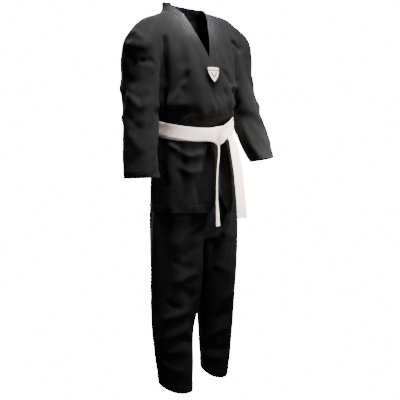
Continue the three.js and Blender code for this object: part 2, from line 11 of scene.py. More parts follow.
import bmesh
import bpy
import numpy as np
from mathutils import Vector, noise
from mathutils.bvhtree import BVHTree
from mathutils.kdtree import KDTree
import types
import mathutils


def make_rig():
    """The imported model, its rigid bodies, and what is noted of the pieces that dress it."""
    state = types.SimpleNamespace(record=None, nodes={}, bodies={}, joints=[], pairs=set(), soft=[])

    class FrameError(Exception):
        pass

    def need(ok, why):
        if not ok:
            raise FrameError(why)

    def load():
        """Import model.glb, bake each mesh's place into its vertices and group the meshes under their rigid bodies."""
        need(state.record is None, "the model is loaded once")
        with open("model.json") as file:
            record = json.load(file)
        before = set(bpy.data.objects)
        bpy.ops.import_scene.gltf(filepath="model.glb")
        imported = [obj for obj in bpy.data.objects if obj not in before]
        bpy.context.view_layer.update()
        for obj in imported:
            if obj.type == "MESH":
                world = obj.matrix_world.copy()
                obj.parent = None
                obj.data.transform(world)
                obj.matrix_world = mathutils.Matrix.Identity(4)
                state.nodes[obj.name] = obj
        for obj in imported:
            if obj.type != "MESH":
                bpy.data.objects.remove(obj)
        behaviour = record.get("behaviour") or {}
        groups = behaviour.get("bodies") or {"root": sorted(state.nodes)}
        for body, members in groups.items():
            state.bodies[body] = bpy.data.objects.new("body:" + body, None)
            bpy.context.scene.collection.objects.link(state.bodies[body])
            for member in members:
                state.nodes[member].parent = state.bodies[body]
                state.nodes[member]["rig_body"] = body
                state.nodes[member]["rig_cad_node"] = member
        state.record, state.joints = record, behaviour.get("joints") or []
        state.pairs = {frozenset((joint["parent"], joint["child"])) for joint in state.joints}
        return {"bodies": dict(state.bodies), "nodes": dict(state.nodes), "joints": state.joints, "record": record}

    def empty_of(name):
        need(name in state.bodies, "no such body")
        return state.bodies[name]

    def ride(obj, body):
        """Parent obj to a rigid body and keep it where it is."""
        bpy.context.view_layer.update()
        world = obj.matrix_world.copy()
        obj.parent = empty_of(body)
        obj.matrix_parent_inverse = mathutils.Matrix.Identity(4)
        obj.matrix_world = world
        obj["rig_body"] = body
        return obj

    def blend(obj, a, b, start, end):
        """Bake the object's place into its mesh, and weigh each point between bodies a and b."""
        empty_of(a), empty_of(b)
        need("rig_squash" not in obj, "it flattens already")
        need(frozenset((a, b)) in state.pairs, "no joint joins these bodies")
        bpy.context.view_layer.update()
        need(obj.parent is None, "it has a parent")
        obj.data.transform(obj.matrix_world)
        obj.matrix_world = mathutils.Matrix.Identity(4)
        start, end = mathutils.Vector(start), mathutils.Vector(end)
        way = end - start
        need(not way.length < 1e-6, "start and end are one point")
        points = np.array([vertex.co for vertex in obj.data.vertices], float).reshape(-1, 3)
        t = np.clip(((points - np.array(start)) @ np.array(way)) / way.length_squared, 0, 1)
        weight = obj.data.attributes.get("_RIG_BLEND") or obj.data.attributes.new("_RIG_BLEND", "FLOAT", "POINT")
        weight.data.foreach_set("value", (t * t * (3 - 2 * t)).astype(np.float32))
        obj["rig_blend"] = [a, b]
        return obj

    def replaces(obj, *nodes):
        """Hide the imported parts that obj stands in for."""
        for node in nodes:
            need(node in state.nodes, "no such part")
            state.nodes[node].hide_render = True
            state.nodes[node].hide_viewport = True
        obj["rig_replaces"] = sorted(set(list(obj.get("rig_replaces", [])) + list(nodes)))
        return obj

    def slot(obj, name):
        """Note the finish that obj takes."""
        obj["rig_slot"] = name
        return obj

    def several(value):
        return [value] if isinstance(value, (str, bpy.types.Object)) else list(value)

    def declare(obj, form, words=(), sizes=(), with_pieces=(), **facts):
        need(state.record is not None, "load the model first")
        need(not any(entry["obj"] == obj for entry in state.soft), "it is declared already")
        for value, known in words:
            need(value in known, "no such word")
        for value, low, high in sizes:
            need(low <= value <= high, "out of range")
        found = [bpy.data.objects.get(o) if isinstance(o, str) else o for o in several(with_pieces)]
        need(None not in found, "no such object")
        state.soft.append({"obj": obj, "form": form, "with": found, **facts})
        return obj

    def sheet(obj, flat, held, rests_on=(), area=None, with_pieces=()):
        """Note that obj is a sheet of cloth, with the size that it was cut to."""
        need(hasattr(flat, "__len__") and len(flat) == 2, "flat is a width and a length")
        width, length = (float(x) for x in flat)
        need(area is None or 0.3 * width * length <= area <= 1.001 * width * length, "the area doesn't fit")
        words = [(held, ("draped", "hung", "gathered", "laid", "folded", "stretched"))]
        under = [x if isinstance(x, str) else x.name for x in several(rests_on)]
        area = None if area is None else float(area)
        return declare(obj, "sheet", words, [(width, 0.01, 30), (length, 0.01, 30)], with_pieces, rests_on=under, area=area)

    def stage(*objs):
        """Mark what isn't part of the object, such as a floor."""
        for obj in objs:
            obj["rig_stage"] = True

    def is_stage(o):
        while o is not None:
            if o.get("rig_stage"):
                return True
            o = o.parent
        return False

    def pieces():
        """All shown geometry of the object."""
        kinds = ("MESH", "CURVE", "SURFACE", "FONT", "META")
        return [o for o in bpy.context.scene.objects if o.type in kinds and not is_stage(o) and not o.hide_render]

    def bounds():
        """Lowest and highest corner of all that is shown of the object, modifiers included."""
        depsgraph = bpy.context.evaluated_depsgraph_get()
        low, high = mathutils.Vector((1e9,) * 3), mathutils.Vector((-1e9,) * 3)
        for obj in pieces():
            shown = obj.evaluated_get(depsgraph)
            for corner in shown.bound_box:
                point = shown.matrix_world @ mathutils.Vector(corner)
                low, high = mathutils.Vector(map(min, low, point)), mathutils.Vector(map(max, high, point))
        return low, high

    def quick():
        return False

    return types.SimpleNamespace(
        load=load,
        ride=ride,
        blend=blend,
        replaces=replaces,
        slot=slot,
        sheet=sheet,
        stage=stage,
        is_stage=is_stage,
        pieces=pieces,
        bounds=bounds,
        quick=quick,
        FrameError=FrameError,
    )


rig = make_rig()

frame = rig.load()
CAD_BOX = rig.bounds()
MM = 0.001

# ---- Driving dimensions, millimetres ------------------------------------------------------
# The wearer's right is -X, the front is -Y, and Z = 0 is the base of the neck opening.
SIDES = {"right": -1, "left": 1}
ROUNDNESS = 2.3  # of the trunk's sections, where 2 is an ellipse
VOXEL = 4.6
SPARE = 26  # how far a garment is lofted past its edges, to be trimmed at the end
CLOTH_THICK = 1.5
BAND_THICK = 2.4
HEM_DEPTH = 22
TRUNK_Y = 4  # middle of the trunk
TRUNK_HALF = 160  # at the hem, everything nearer the middle than this is trunk

# Rough radii, for the weave.
TRUNK_RADIUS = 130
ARM_RADIUS = 60
LEG_RADIUS = 65
BADGE_RADIUS = 100

# The top and its collar.
TOP_HEM_Z = -590
SHOULDER_TILT = 8
SKIRT_SHIFT = 11  # the hem hangs this far to the left
SKIRT_SHIFT_Z = -420  # and that grows from here down
NECK_SHIFT = 6  # the collar stands this far to the right
NECK_SHIFT_Z = (8, 20)  # and that grows between these heights
COLLAR_BASE_Z = 17
COLLAR_TOP_Z = 44
COLLAR_HIGH = (-60, 40)  # X and Y where the collar's top edge is at COLLAR_TOP_Z
COLLAR_FALL = 0.08  # it drops this much per millimetre towards the left
COLLAR_RISE = 0.16  # and climbs this much per millimetre towards the back
COLLAR_HALF = 68
COLLAR_BACK_Y = 84
SIDE_SEAM_Y = 36
SIDE_SEAM_SLOPE = 0.075
VENT_APEX = (21, -527)
VENT_LOW = ((-16, -600), (58, -600))

# The sleeves' seams, and the line between body and sleeve below the armpit.
SLEEVE_SEAM = ((190, 36, -128), (0.6, 0.1, 0.8))  # a point on it and its normal, left side
SLEEVE_INNER = 118  # no sleeve comes nearer the middle than this
UNDERARM_X = 137
UNDERARM_SLOPE = 0.09
UNDERARM_Z = -210
CUFFS_BELOW_Z = -350

# The trousers.
SEAT_TOP_Z = -352
CROTCH_Z = -668
TROUSER_WAIST = (110, -78, 82)  # half width, front Y, back Y
GUSSET = [(0, -46), (22, 4), (0, 56), (-22, 4)]
GUSSET_Z = (-690, -630)
LEG_HEMS_BELOW_Z = -1000
CASING_LOW = SEAT_TOP_Z + 0.5
CASING_HIGH = SEAT_TOP_Z + 38

# Facing inside the back of the neck, with the blank size label sewn on it.
FACING_HALF = 58
FACING_LOW = 22
FACING_DROP = 3  # its top edge lies this far below the collar's
FACING_GAP = 3.2
LABEL_HALF = 19
LABEL_LOW = 2
LABEL_GAP = 4.4

# Belt and badge.
BELT_WIDTH = 40
BELT_THICK = 2.4
BELT_Z = -338  # middle of the belt at the side
BELT_LEAN = 0.2  # it hangs this much lower per millimetre towards the front
BELT_LEFT_RISE = 16  # and is pulled up this far on the left
WAIST = (120, -91, 92)  # half width, front Y, back Y
BADGE_AT = (2, -98.5, -179)
BADGE_TILT = 9

# Where the cloth bends when a joint turns: where each bend starts and ends.
SKIRT_BEND = (-472, -520)  # heights
LEG_BEND = (-668, -770)
SLEEVE_BEND = (30, 130)  # lengths down the arm, from its seam
TAIL_BENDS = {
    "right": ((8, -121, -384), (8, -121, -402)),
    "left": ((52, -117, -358), (52, -117, -386)),
}

# Rows of stitches.
STITCH = 3.4  # from the start of one stitch to the next
STITCH_GAP = 1.1
THREAD_THICK = 0.55
BAND_LIFT = 1.2  # threads lie this far off the middle of a band
SEAM_LIFT = 0.2
HEM_ROWS = (3, HEM_DEPTH - 3)  # how far before an edge its two rows of stitches run

# Camera and surroundings, in degrees and metres.
VIEW_AZIMUTH = -36
VIEW_ELEVATION = 3.5
VIEW_DISTANCE = 2.5
VIEW_TARGET = Vector((0.015, -0.011, -0.558))
LENS = 72.6
WORLD_LIGHT = 0.09
DOME_RADIUS = 12
FLOOR_HALF = 9
FLOOR_Z = -1.155
BACKDROP_GLOW = 16

# Half widths of the V opening, and of the lapels' outer edge, at each height.
NECK_V = [(-133, 0), (-78, 16), (-40, 27), (0, 41), (21, 52), (44, 65), (120, 100)]
LAPEL = [(-168, 23.5), (-78, 41), (-40, 52), (0, 66), (21, 80), (120, 140)]

# Each station: height, half width, front Y, back Y.
TOP_STATIONS = [
    (74, 66, 24, 91),
    (48, 68, 22, 90),
    (25, 75, 10, 86),
    (17, 90, 2, 87),
    (8, 124, -6, 90),
    (-12, 170, -20, 97),
    (-38, 198, -34, 103),
    (-70, 194, -53, 107),
    (-100, 172, -68, 109),
    (-133, 150, -84, 110),
    (-170, 139, -95, 110),
    (-220, 133, -102, 107),
    (-275, 130, -102, 101),
    (-318, 120, -91, 92),
    (-348, 119, -87, 90),
    (-400, 131, -94, 99),
    (-492, 141, -100, 107),
    (TOP_HEM_Z, 148, -104, 112),
    (TOP_HEM_Z - SPARE, 149, -105, 113),
]
SEAT_STATIONS = [
    (SEAT_TOP_Z + SPARE, *TROUSER_WAIST),
    (SEAT_TOP_Z, *TROUSER_WAIST),
    (-400, 119, -82, 88),
    (-470, 130, -87, 94),
    (-560, 136, -91, 99),
    (-615, 138, -90, 99),
    (-645, 134, -77, 87),
    (CROTCH_Z, 120, -60, 70),
]

# Each ring of a limb: centre, half size across the wide and the narrow way, turn of the wide way
# from +X in degrees, and the rise of the ring's plane along X and Y. The left arm is worked out
# from the right one; the legs stand differently, so each has its own rings.
ARM_RINGS = [
    ((-138, 36, -58), 58, 20, -90, -2.2, 0),
    ((-168, 36, -90), 71, 43, -90, -0.8, 0),
    ((-172, 34, -128), 70, 51, -86, -0.2, 0),
    ((-180, 24, -200), 64, 47, -74, 0, -0.05),
    ((-195, -2, -300), 57, 46, -64, 0, -0.1),
    ((-212, -31, -400), 58, 42, -60, 0, -0.08),
    ((-227, -59, -484), 60, 32, -60, 0, -0.06),
]
RIGHT_LEG_RINGS = [
    ((-66, 4, -560), 82, 60, -60, 0, 0),
    ((-67, 0, -640), 82, 68, -48, 0, 0),
    ((-68, -5, -740), 83, 66, -45, 0, 0),
    ((-76, -8, -850), 76, 62, -48, 0, 0.03),
    ((-89, -12, -940), 65, 57, -60, 0, 0.08),
    ((-88, -20, -1040), 60, 50, -60, 0, 0.2),
    ((-87, -26, -1119), 53, 42, -60, 0, 0.3),
]
LEFT_LEG_RINGS = [
    ((90, 4, -560), 78, 56, 260, 0, 0),
    ((97, 8, -640), 78, 64, 255, 0, 0.01),
    ((96, 14, -735), 75, 68, 242, -0.03, 0.03),
    ((94, 14, -842), 68, 64, 240, -0.04, 0.07),
    ((95, 15, -929), 65, 57, 240, -0.05, 0.13),
    ((91, 14, -1027), 60, 50, 240, -0.07, 0.27),
    ((87, 15, -1103), 53, 42, 240, -0.08, 0.38),
]
LEFT_ARM_LIFT = 50  # the left forearm is raised this far
LEFT_ARM_FULLER = 13  # and the left sleeve is this much wider at its middle

# ---- Lofts --------------------------------------------------------------------------------


def smooth_rows(rows, per_gap):
    """Rows of numbers joined by a smooth curve, with per_gap steps between two of them."""
    rows = np.array(rows, float)
    ends = np.vstack([2 * rows[0] - rows[1], rows, 2 * rows[-1] - rows[-2]])
    out = []
    for i in range(len(rows) - 1):
        a, b, c, d = ends[i : i + 4]
        for t in np.arange(per_gap) / per_gap:
            bend = (2 * a - 5 * b + 4 * c - d) * t * t + (3 * b - a - 3 * c + d) * t**3
            out.append(0.5 * (2 * b + (c - a) * t + bend))
    return np.array(out + [rows[-1]])


def station_ring(station, sides, grow=0):
    z, half, front, back = station
    angle = np.arange(sides) * 2 * math.pi / sides
    power = 2 / ROUNDNESS
    c = np.sign(np.cos(angle)) * abs(np.cos(angle)) ** power
    s = np.sign(np.sin(angle)) * abs(np.sin(angle)) ** power
    depth = (back - front) / 2 + grow
    return np.stack([(half + grow) * c, (front + back) / 2 + depth * s, np.full(sides, z)], 1)


def limb_ring(ring, sides, grow=0):
    x0, y0, z0, wide, narrow, turn, rise_x, rise_y = ring
    angle = np.arange(sides) * 2 * math.pi / sides
    w = (wide + grow) * np.cos(angle)
    n = (narrow + grow) * np.sin(angle)
    x = w * math.cos(math.radians(turn)) - n * math.sin(math.radians(turn))
    y = w * math.sin(math.radians(turn)) + n * math.cos(math.radians(turn))
    return np.stack([x0 + x, y0 + y, z0 + rise_x * x + rise_y * y], 1)


def flat_rings(rings):
    return [(*at, wide, narrow, turn, rx, ry) for at, wide, narrow, turn, rx, ry in rings]


def mirror_rings(rings):
    return [(-x, y, z, w, n, 180 - t, -rx, ry) for x, y, z, w, n, t, rx, ry in rings]


def left_arm():
    rings = mirror_rings(flat_rings(ARM_RINGS))
    out = []
    for i, (x, y, z, w, n, t, rx, ry) in enumerate(rings):
        share = max(0, (i - 2) / (len(rings) - 3))
        fuller = LEFT_ARM_FULLER * math.sin(math.pi * min(1, i / (len(rings) - 1)))
        lifted = z + LEFT_ARM_LIFT * share**1.3
        out.append((x, y, lifted, w + fuller, n + fuller / 2, t, rx + 0.1 * share, ry - 0.1 * share))
    return out


ARMS = {"right": flat_rings(ARM_RINGS), "left": left_arm()}
LEGS = {"right": flat_rings(RIGHT_LEG_RINGS), "left": flat_rings(LEFT_LEG_RINGS)}


def run_past(rings):
    """The limb's rings with one more, SPARE beyond the last."""
    last, before = np.array(rings[-1], float), np.array(rings[-2], float)
    step = last[:3] - before[:3]
    more = last.copy()
    more[:3] += step / np.linalg.norm(step) * SPARE
    return [*rings, tuple(more)]


def loft_data(rings):
    """Vertices and faces of a closed skin over a list of rings."""
    sides = len(rings[0])
    points = np.concatenate([*rings, [rings[0].mean(0)], [rings[-1].mean(0)]])
    faces = []
    for r in range(len(rings) - 1):
        for s in range(sides):
            t = (s + 1) % sides
            faces.append((r * sides + s, r * sides + t, (r + 1) * sides + t, (r + 1) * sides + s))
    hub = len(rings) * sides
    low = (len(rings) - 1) * sides
    for s in range(sides):
        t = (s + 1) % sides
        faces.append((t, s, hub))
        faces.append((low + s, low + t, hub + 1))
    return points, faces


def mesh_object(name, points, faces):
    mesh = bpy.data.meshes.new(name)
    mesh.from_pydata([tuple(p) for p in points], [], [tuple(f) for f in faces])
    mesh.update()
    obj = bpy.data.objects.new(name, mesh)
    bpy.context.scene.collection.objects.link(obj)
    return obj


def tilt_shoulders(points):
    """The left shoulder stands a little higher than the right one."""
    x, z = points[:, 0], points[:, 2]
    aside = np.clip((abs(x) - 60) / 60, 0, 1) * np.sign(x)
    high = np.clip((z + 170) / 110, 0, 1)  # from the armpits up to the shoulders
    points[:, 2] += SHOULDER_TILT * aside * high
    return points


def shift_ends(points):
    """The hem hangs a little to the left, and the collar stands a little to the right."""
    z = points[:, 2]
    low = np.clip((z - SKIRT_SHIFT_Z) / (TOP_HEM_Z - SKIRT_SHIFT_Z), 0, 1)
    start, end = NECK_SHIFT_Z
    points[:, 0] += SKIRT_SHIFT * low * low * (3 - 2 * low)
    points[:, 0] -= NECK_SHIFT * np.clip((z - start) / (end - start), 0, 1)


def with_normals_out(obj):
    bm = bmesh.new()
    bm.from_mesh(obj.data)
    bmesh.ops.recalc_face_normals(bm, faces=bm.faces)
    bm.to_mesh(obj.data)
    bm.free()


def garment_form(name, stations, limbs, grow=0):
    """One object that holds the body's closed loft and those of its two limbs."""
    sides = 72
    lofts = [loft_data([station_ring(s, sides, grow) for s in smooth_rows(stations, 6)])]
    shift_ends(lofts[0][0])
    for rings in limbs:
        lofts.append(loft_data([limb_ring(r, sides // 2, grow) for r in smooth_rows(rings, 8)]))
    points, faces, start = [], [], 0
    for p, f in lofts:
        points.append(tilt_shoulders(p) * MM)
        faces.extend(tuple(start + i for i in face) for face in f)
        start += len(p)
    obj = mesh_object(name, np.concatenate(points), faces)
    with_normals_out(obj)
    return obj


def apply_modifiers(obj):
    graph = bpy.context.evaluated_depsgraph_get()
    graph.update()
    mesh = bpy.data.meshes.new_from_object(obj.evaluated_get(graph))
    obj.modifiers.clear()
    old = obj.data
    obj.data = mesh
    bpy.data.meshes.remove(old)


def remesh(obj, voxel, rounds):
    """One even skin over what obj holds, with its inner crossings gone and its creases eased."""
    skin = obj.modifiers.new("skin", "REMESH")
    skin.mode = "VOXEL"
    skin.voxel_size = voxel * MM
    ease = obj.modifiers.new("ease", "SMOOTH")
    ease.factor = 0.5
    ease.iterations = rounds
    apply_modifiers(obj)


def coordinates(mesh):
    co = np.empty(len(mesh.vertices) * 3)
    mesh.vertices.foreach_get("co", co)
    return co.reshape(-1, 3)


def normals(mesh):
    out = np.empty(len(mesh.vertices) * 3)
    mesh.vertex_normals.foreach_get("vector", out)
    return out.reshape(-1, 3)


def set_coordinates(mesh, co):
    mesh.vertices.foreach_set("co", np.ascontiguousarray(co).ravel())
    mesh.update()


# ---- Cutting ------------------------------------------------------------------------------


def cut(bm, point, normal, where=None, clear=False):
    """Cuts the faces whose middle passes where() along a plane, given in millimetres.

    The limits in where() are rough: they only keep a cut away from the rest of the garment.
    """
    faces = [f for f in bm.faces if where is None or where(f.calc_center_median() / MM)]
    edges = {e for f in faces for e in f.edges}
    verts = {v for f in faces for v in f.verts}
    bmesh.ops.bisect_plane(
        bm,
        geom=[*verts, *edges, *faces],
        plane_co=Vector(point) * MM,
        plane_no=Vector(normal),
        dist=2e-5,
        clear_outer=clear,
    )


def limb_end(rings, before=0):
    """Point and outward normal of the plane that ends a limb, or one that distance before it."""
    last, previous = np.array(rings[-1], float), np.array(rings[-2], float)
    step = last[:3] - previous[:3]
    at = last[:3] - step / np.linalg.norm(step) * before
    normal = np.array([last[6], last[7], -1.0])
    return at, normal / np.linalg.norm(normal)


def beyond_plane(points, point, normal):
    return (points - np.array(point)) @ np.array(normal) > 0


def face_centres(mesh):
    out = np.empty(len(mesh.polygons) * 3)
    mesh.polygons.foreach_get("center", out)
    return out.reshape(-1, 3) / MM


def subset(mesh, mask, name):
    """A new object with the faces of mesh that mask picks."""
    bm = bmesh.new()
    bm.from_mesh(mesh)
    bmesh.ops.delete(bm, geom=[f for f, keep in zip(bm.faces, mask) if not keep], context="FACES")
    part = bpy.data.meshes.new(name)
    bm.to_mesh(part)
    bm.free()
    obj = bpy.data.objects.new(name, part)
    bpy.context.scene.collection.objects.link(obj)
    return obj


# ---- Folds --------------------------------------------------------------------------------
FOLD_ENDS = 0.35  # the share of its length over which a fold fades out


def fold(points, path, depth, width):
    """Push along the normal: a ridge with low furrows beside it, or the reverse if depth < 0.

    A fold is narrow and steep where it starts, and broadens and fades towards its other end.
    """
    path = smooth_rows(path, 5)
    steps = np.diff(path, axis=0)
    lengths = np.linalg.norm(steps, axis=1)
    total = lengths.sum()
    best = np.full(len(points), 1e9)
    share = np.zeros(len(points))
    before = 0.0
    for start, step, length in zip(path, steps, lengths):
        t = np.clip(((points - start) @ step) / length**2, 0, 1)
        away = np.linalg.norm(points - start - t[:, None] * step, axis=1)
        near = away < best
        best = np.where(near, away, best)
        share = np.where(near, (before + t * length) / total, share)
        before += length
    taper = np.clip(np.minimum(1.6 * share + 0.2, 1 - share) / FOLD_ENDS, 0, 1)
    taper = taper * taper * (3 - 2 * taper)
    off = (best / (width * (0.75 + 0.6 * share))) ** 1.7
    return depth * taper * (1 - 0.5 * off) * np.exp(-0.8 * off)


# Each fold: its path in millimetres, its height (negative for a furrow) and its half width.
TOP_FOLDS = [
    # Round the right shoulder and armpit.
    ([(-225, 30, -112), (-225, 8, -135), (-215, -12, -168)], -8, 12),
    ([(-232, 66, -116), (-236, 34, -124), (-230, 4, -136)], -7, 9),
    ([(-222, 60, -88), (-218, 28, -93), (-196, -30, -108), (-176, -36, -126)], 6, 13),
    ([(-205, -22, -145), (-190, -35, -146), (-165, -37, -140)], -10, 9),
    ([(-205, 18, -52), (-195, -22, -86), (-182, -34, -112)], 5, 14),
    # The deep fold between the body and the right sleeve, and those beside it.
    ([(-130, -36, -75), (-134, -38, -125), (-131, -32, -185), (-131, -28, -250)], -14, 11),
    ([(-130, -18, -312), (-131, -28, -262), (-132, -32, -212)], -16, 12),
    ([(-92, -77, -205), (-108, -64, -240), (-120, -50, -275), (-121, -42, -308)], 9, 12),
    ([(-84, -84, -180), (-96, -76, -210), (-100, -72, -245)], -7, 11),
    ([(-75, -80, -95), (-88, -76, -140), (-92, -78, -170)], -5, 15),
    # Bends of the right sleeve at the elbow and below it.
    ([(-236, 8, -242), (-230, -20, -262), (-215, -40, -280), (-202, -46, -266), (-188, -46, -244)], 7, 14),
    ([(-236, 6, -218), (-226, -24, -232), (-206, -42, -226), (-190, -42, -205)], 4, 15),
    ([(-246, 0, -300), (-235, -45, -335), (-210, -68, -358)], -5, 16),
    ([(-250, -30, -360), (-240, -62, -395), (-215, -76, -410)], 4, 18),
    ([(-232, 25, -190), (-222, 0, -205), (-205, -25, -200)], -4, 15),
    # Cloth bloused over the belt.
    ([(-118, -48, -322), (-95, -70, -309), (-55, -90, -296)], 9, 12),
    ([(-122, -40, -290), (-98, -70, -288), (-70, -86, -296)], -9, 11),
    ([(-78, -75, -322), (-58, -86, -314), (-32, -91, -320)], -9, 9),
    ([(-50, -92, -262), (-40, -95, -285), (-20, -96, -306)], 6, 11),
    # Pleats that run down from the badge.
    ([(-16, -100, -212), (-6, -104, -262), (12, -92, -315)], 7, 8),
    ([(14, -104, -240), (24, -96, -290), (30, -92, -315)], 6, 8),
    ([(-36, -98, -225), (-30, -98, -265), (-26, -95, -300)], -5, 9),
    ([(46, -96, -225), (52, -92, -262), (50, -90, -300)], -7, 11),
    # The left chest and armpit.
    ([(118, -42, -68), (143, -36, -80), (162, -36, -98)], -8, 11),
    ([(48, -92, -165), (65, -90, -190), (84, -82, -220)], -7, 11),
    ([(74, -88, -212), (100, -72, -212), (140, -32, -206), (158, -44, -212)], 7, 10),
    ([(84, -84, -224), (104, -70, -240), (142, -30, -272)], -18, 15),
    ([(146, -30, -210), (143, -28, -250), (143, -22, -300)], -16, 12),
    ([(232, 62, -118), (238, 30, -126), (232, -4, -136)], -7, 9),
    ([(228, 66, -96), (232, 34, -102), (226, -4, -110)], 5, 9),
    ([(95, -68, -300), (70, -86, -270), (56, -94, -235)], 6, 12),
    # Bends of the left sleeve.
    ([(190, -44, -165), (216, -30, -190), (238, 5, -200)], 5, 14),
    ([(182, -50, -250), (205, -52, -268), (232, -25, -262), (245, 10, -240)], 6, 13),
    ([(196, -66, -318), (220, -62, -330), (246, -30, -322)], -5, 13),
    ([(205, -82, -372), (230, -74, -380), (252, -44, -372)], 4, 14),
    # The skirt below the belt.
    ([(-122, -44, -388), (-100, -70, -408), (-75, -86, -422), (-45, -93, -415), (-12, -96, -396)], 8, 10),
    ([(-105, -70, -452), (-70, -90, -470), (-28, -97, -452)], 6, 12),
    ([(-136, -18, -445), (-136, -32, -480), (-132, -45, -525)], -8, 12),
    ([(-112, -72, -480), (-108, -78, -530), (-110, -78, -580)], 6, 13),
    ([(-60, -95, -500), (-55, -98, -545), (-58, -100, -590)], -5, 14),
    ([(34, -95, -430), (50, -96, -480), (64, -97, -525)], -6, 11),
    ([(100, -74, -395), (104, -78, -450), (96, -86, -510)], 6, 13),
    ([(126, -50, -400), (132, -48, -470), (134, -50, -560)], -7, 13),
    # The back of the top and of the sleeves.
    ([(-120, 92, -150), (-70, 108, -225), (-30, 108, -290)], 6, 15),
    ([(118, 92, -160), (75, 108, -235), (38, 106, -290)], 6, 15),
    ([(-105, 88, -300), (-50, 102, -312), (0, 103, -304)], 7, 12),
    ([(20, 103, -312), (65, 98, -305), (108, 84, -314)], 7, 12),
    ([(-60, 100, -270), (-20, 104, -285), (30, 104, -278)], -5, 13),
    ([(-90, 92, -400), (-80, 100, -460), (-90, 100, -560)], 6, 14),
    ([(-20, 106, -400), (-14, 110, -470), (-24, 112, -570)], -6, 14),
    ([(55, 102, -400), (62, 106, -470), (52, 110, -570)], 6, 14),
    ([(112, 80, -400), (120, 82, -470), (118, 84, -560)], -5, 13),
    ([(-190, 74, -180), (-215, 64, -215), (-238, 30, -240)], 6, 12),
    ([(-205, 48, -290), (-230, 30, -310), (-245, 8, -300)], 6, 12),
    ([(190, 76, -180), (220, 62, -210), (242, 30, -225)], 6, 12),
    ([(212, 38, -290), (238, 20, -300), (252, -10, -290)], 6, 12),
    ([(-60, 96, -60), (0, 100, -78), (60, 97, -62)], 4, 16),
]
SEAT_FOLDS = [
    # Right leg, from the thigh down.
    ([(-138, -22, -592), (-120, -50, -600), (-98, -70, -612)], 5, 16),
    ([(-46, -80, -632), (-85, -76, -655), (-120, -56, -712)], 6, 19),
    ([(-40, -72, -690), (-75, -76, -712), (-105, -66, -735)], -5, 18),
    ([(-42, -70, -772), (-90, -75, -786), (-128, -54, -808)], 6, 15),
    ([(-118, -60, -732), (-85, -75, -753), (-56, -72, -762)], -5, 14),
    ([(-92, -75, -820), (-70, -72, -838), (-48, -64, -852)], -5, 14),
    ([(-135, -46, -858), (-110, -70, -874), (-86, -74, -872)], -5, 12),
    ([(-138, -42, -908), (-110, -70, -895), (-82, -76, -886), (-56, -68, -886)], 6, 15),
    ([(-128, -52, -962), (-100, -70, -945), (-58, -68, -928)], 5, 15),
    ([(-96, -76, -968), (-66, -70, -982), (-48, -58, -980)], -5, 12),
    ([(-132, -50, -1010), (-104, -72, -1002), (-70, -74, -1010)], 4, 15),
    ([(-138, -40, -1042), (-115, -66, -1062), (-80, -75, -1062)], 4, 16),
    ([(-30, -30, -700), (-28, -28, -760), (-40, -40, -830)], 4, 16),
    # Left leg.
    ([(22, -32, -675), (40, -50, -700), (54, -56, -716)], -9, 18),
    ([(124, -50, -690), (95, -66, -720), (76, -62, -750)], -7, 16),
    ([(60, -66, -655), (96, -66, -668), (128, -42, -660)], 6, 16),
    ([(44, -48, -760), (72, -58, -772), (108, -52, -800)], 6, 16),
    ([(118, -48, -840), (90, -58, -862), (60, -48, -870)], 5, 16),
    ([(56, -38, -932), (76, -46, -914), (112, -44, -926)], -7, 14),
    ([(36, -14, -998), (60, -40, -968), (108, -44, -955)], 6, 16),
    ([(50, -22, -1022), (78, -40, -1030), (110, -42, -1018)], -5, 15),
    ([(40, 4, -1042), (52, -25, -1054), (82, -40, -1048)], 5, 15),
    ([(22, -26, -682), (26, -26, -745), (32, -16, -812)], 6, 15),
    # Behind: the seat, the backs of the knees and the breaks above the hems.
    ([(-100, 74, -630), (-60, 84, -660), (-24, 70, -690)], 6, 19),
    ([(104, 76, -630), (62, 86, -660), (26, 74, -690)], 6, 19),
    ([(-118, 40, -850), (-84, 56, -872), (-50, 40, -858)], -6, 16),
    ([(-116, 40, -905), (-82, 52, -890), (-50, 38, -900)], 6, 16),
    ([(114, 66, -850), (84, 76, -872), (50, 60, -858)], -6, 16),
    ([(112, 62, -905), (84, 72, -890), (50, 56, -900)], 6, 16),
    ([(-118, 22, -1020), (-86, 32, -1035), (-52, 20, -1024)], 5, 16),
    ([(118, 46, -1010), (88, 58, -1026), (54, 46, -1014)], 5, 16),
]


def crease(obj, folds):
    co = coordinates(obj.data)
    out = normals(obj.data)
    push = sum((fold(co / MM, *f) for f in folds), np.zeros(len(co)))
    set_coordinates(obj.data, co + out * (push * MM)[:, None])


# ---- Cloth simulation ---------------------------------------------------------------------
COARSE_VOXEL = 12
INNER_GAP = 18
FOLD_SPREAD = 55  # moves wider than this are the garment drifting
DRIFT_SHARE = 0.85  # and this share of them is taken back
FOLD_CAP = 8  # no point moves further than this
EXTRA_CLOTH = 0.06
FRAMES = 28


def near_mean(points, values, places, radius, most):
    """The values at points, averaged around each of places with a bell weight of that radius."""
    tree = KDTree(len(points))
    for i, p in enumerate(points):
        tree.insert(p, i)
    tree.balance()
    out = np.zeros((len(places), values.shape[1]))
    for k, place in enumerate(places):
        near = tree.find_n(place, most)
        weight = np.exp(-((np.array([n[2] for n in near]) / radius) ** 2)) + 1e-9
        out[k] = weight @ values[[n[1] for n in near]] / weight.sum()
    return out


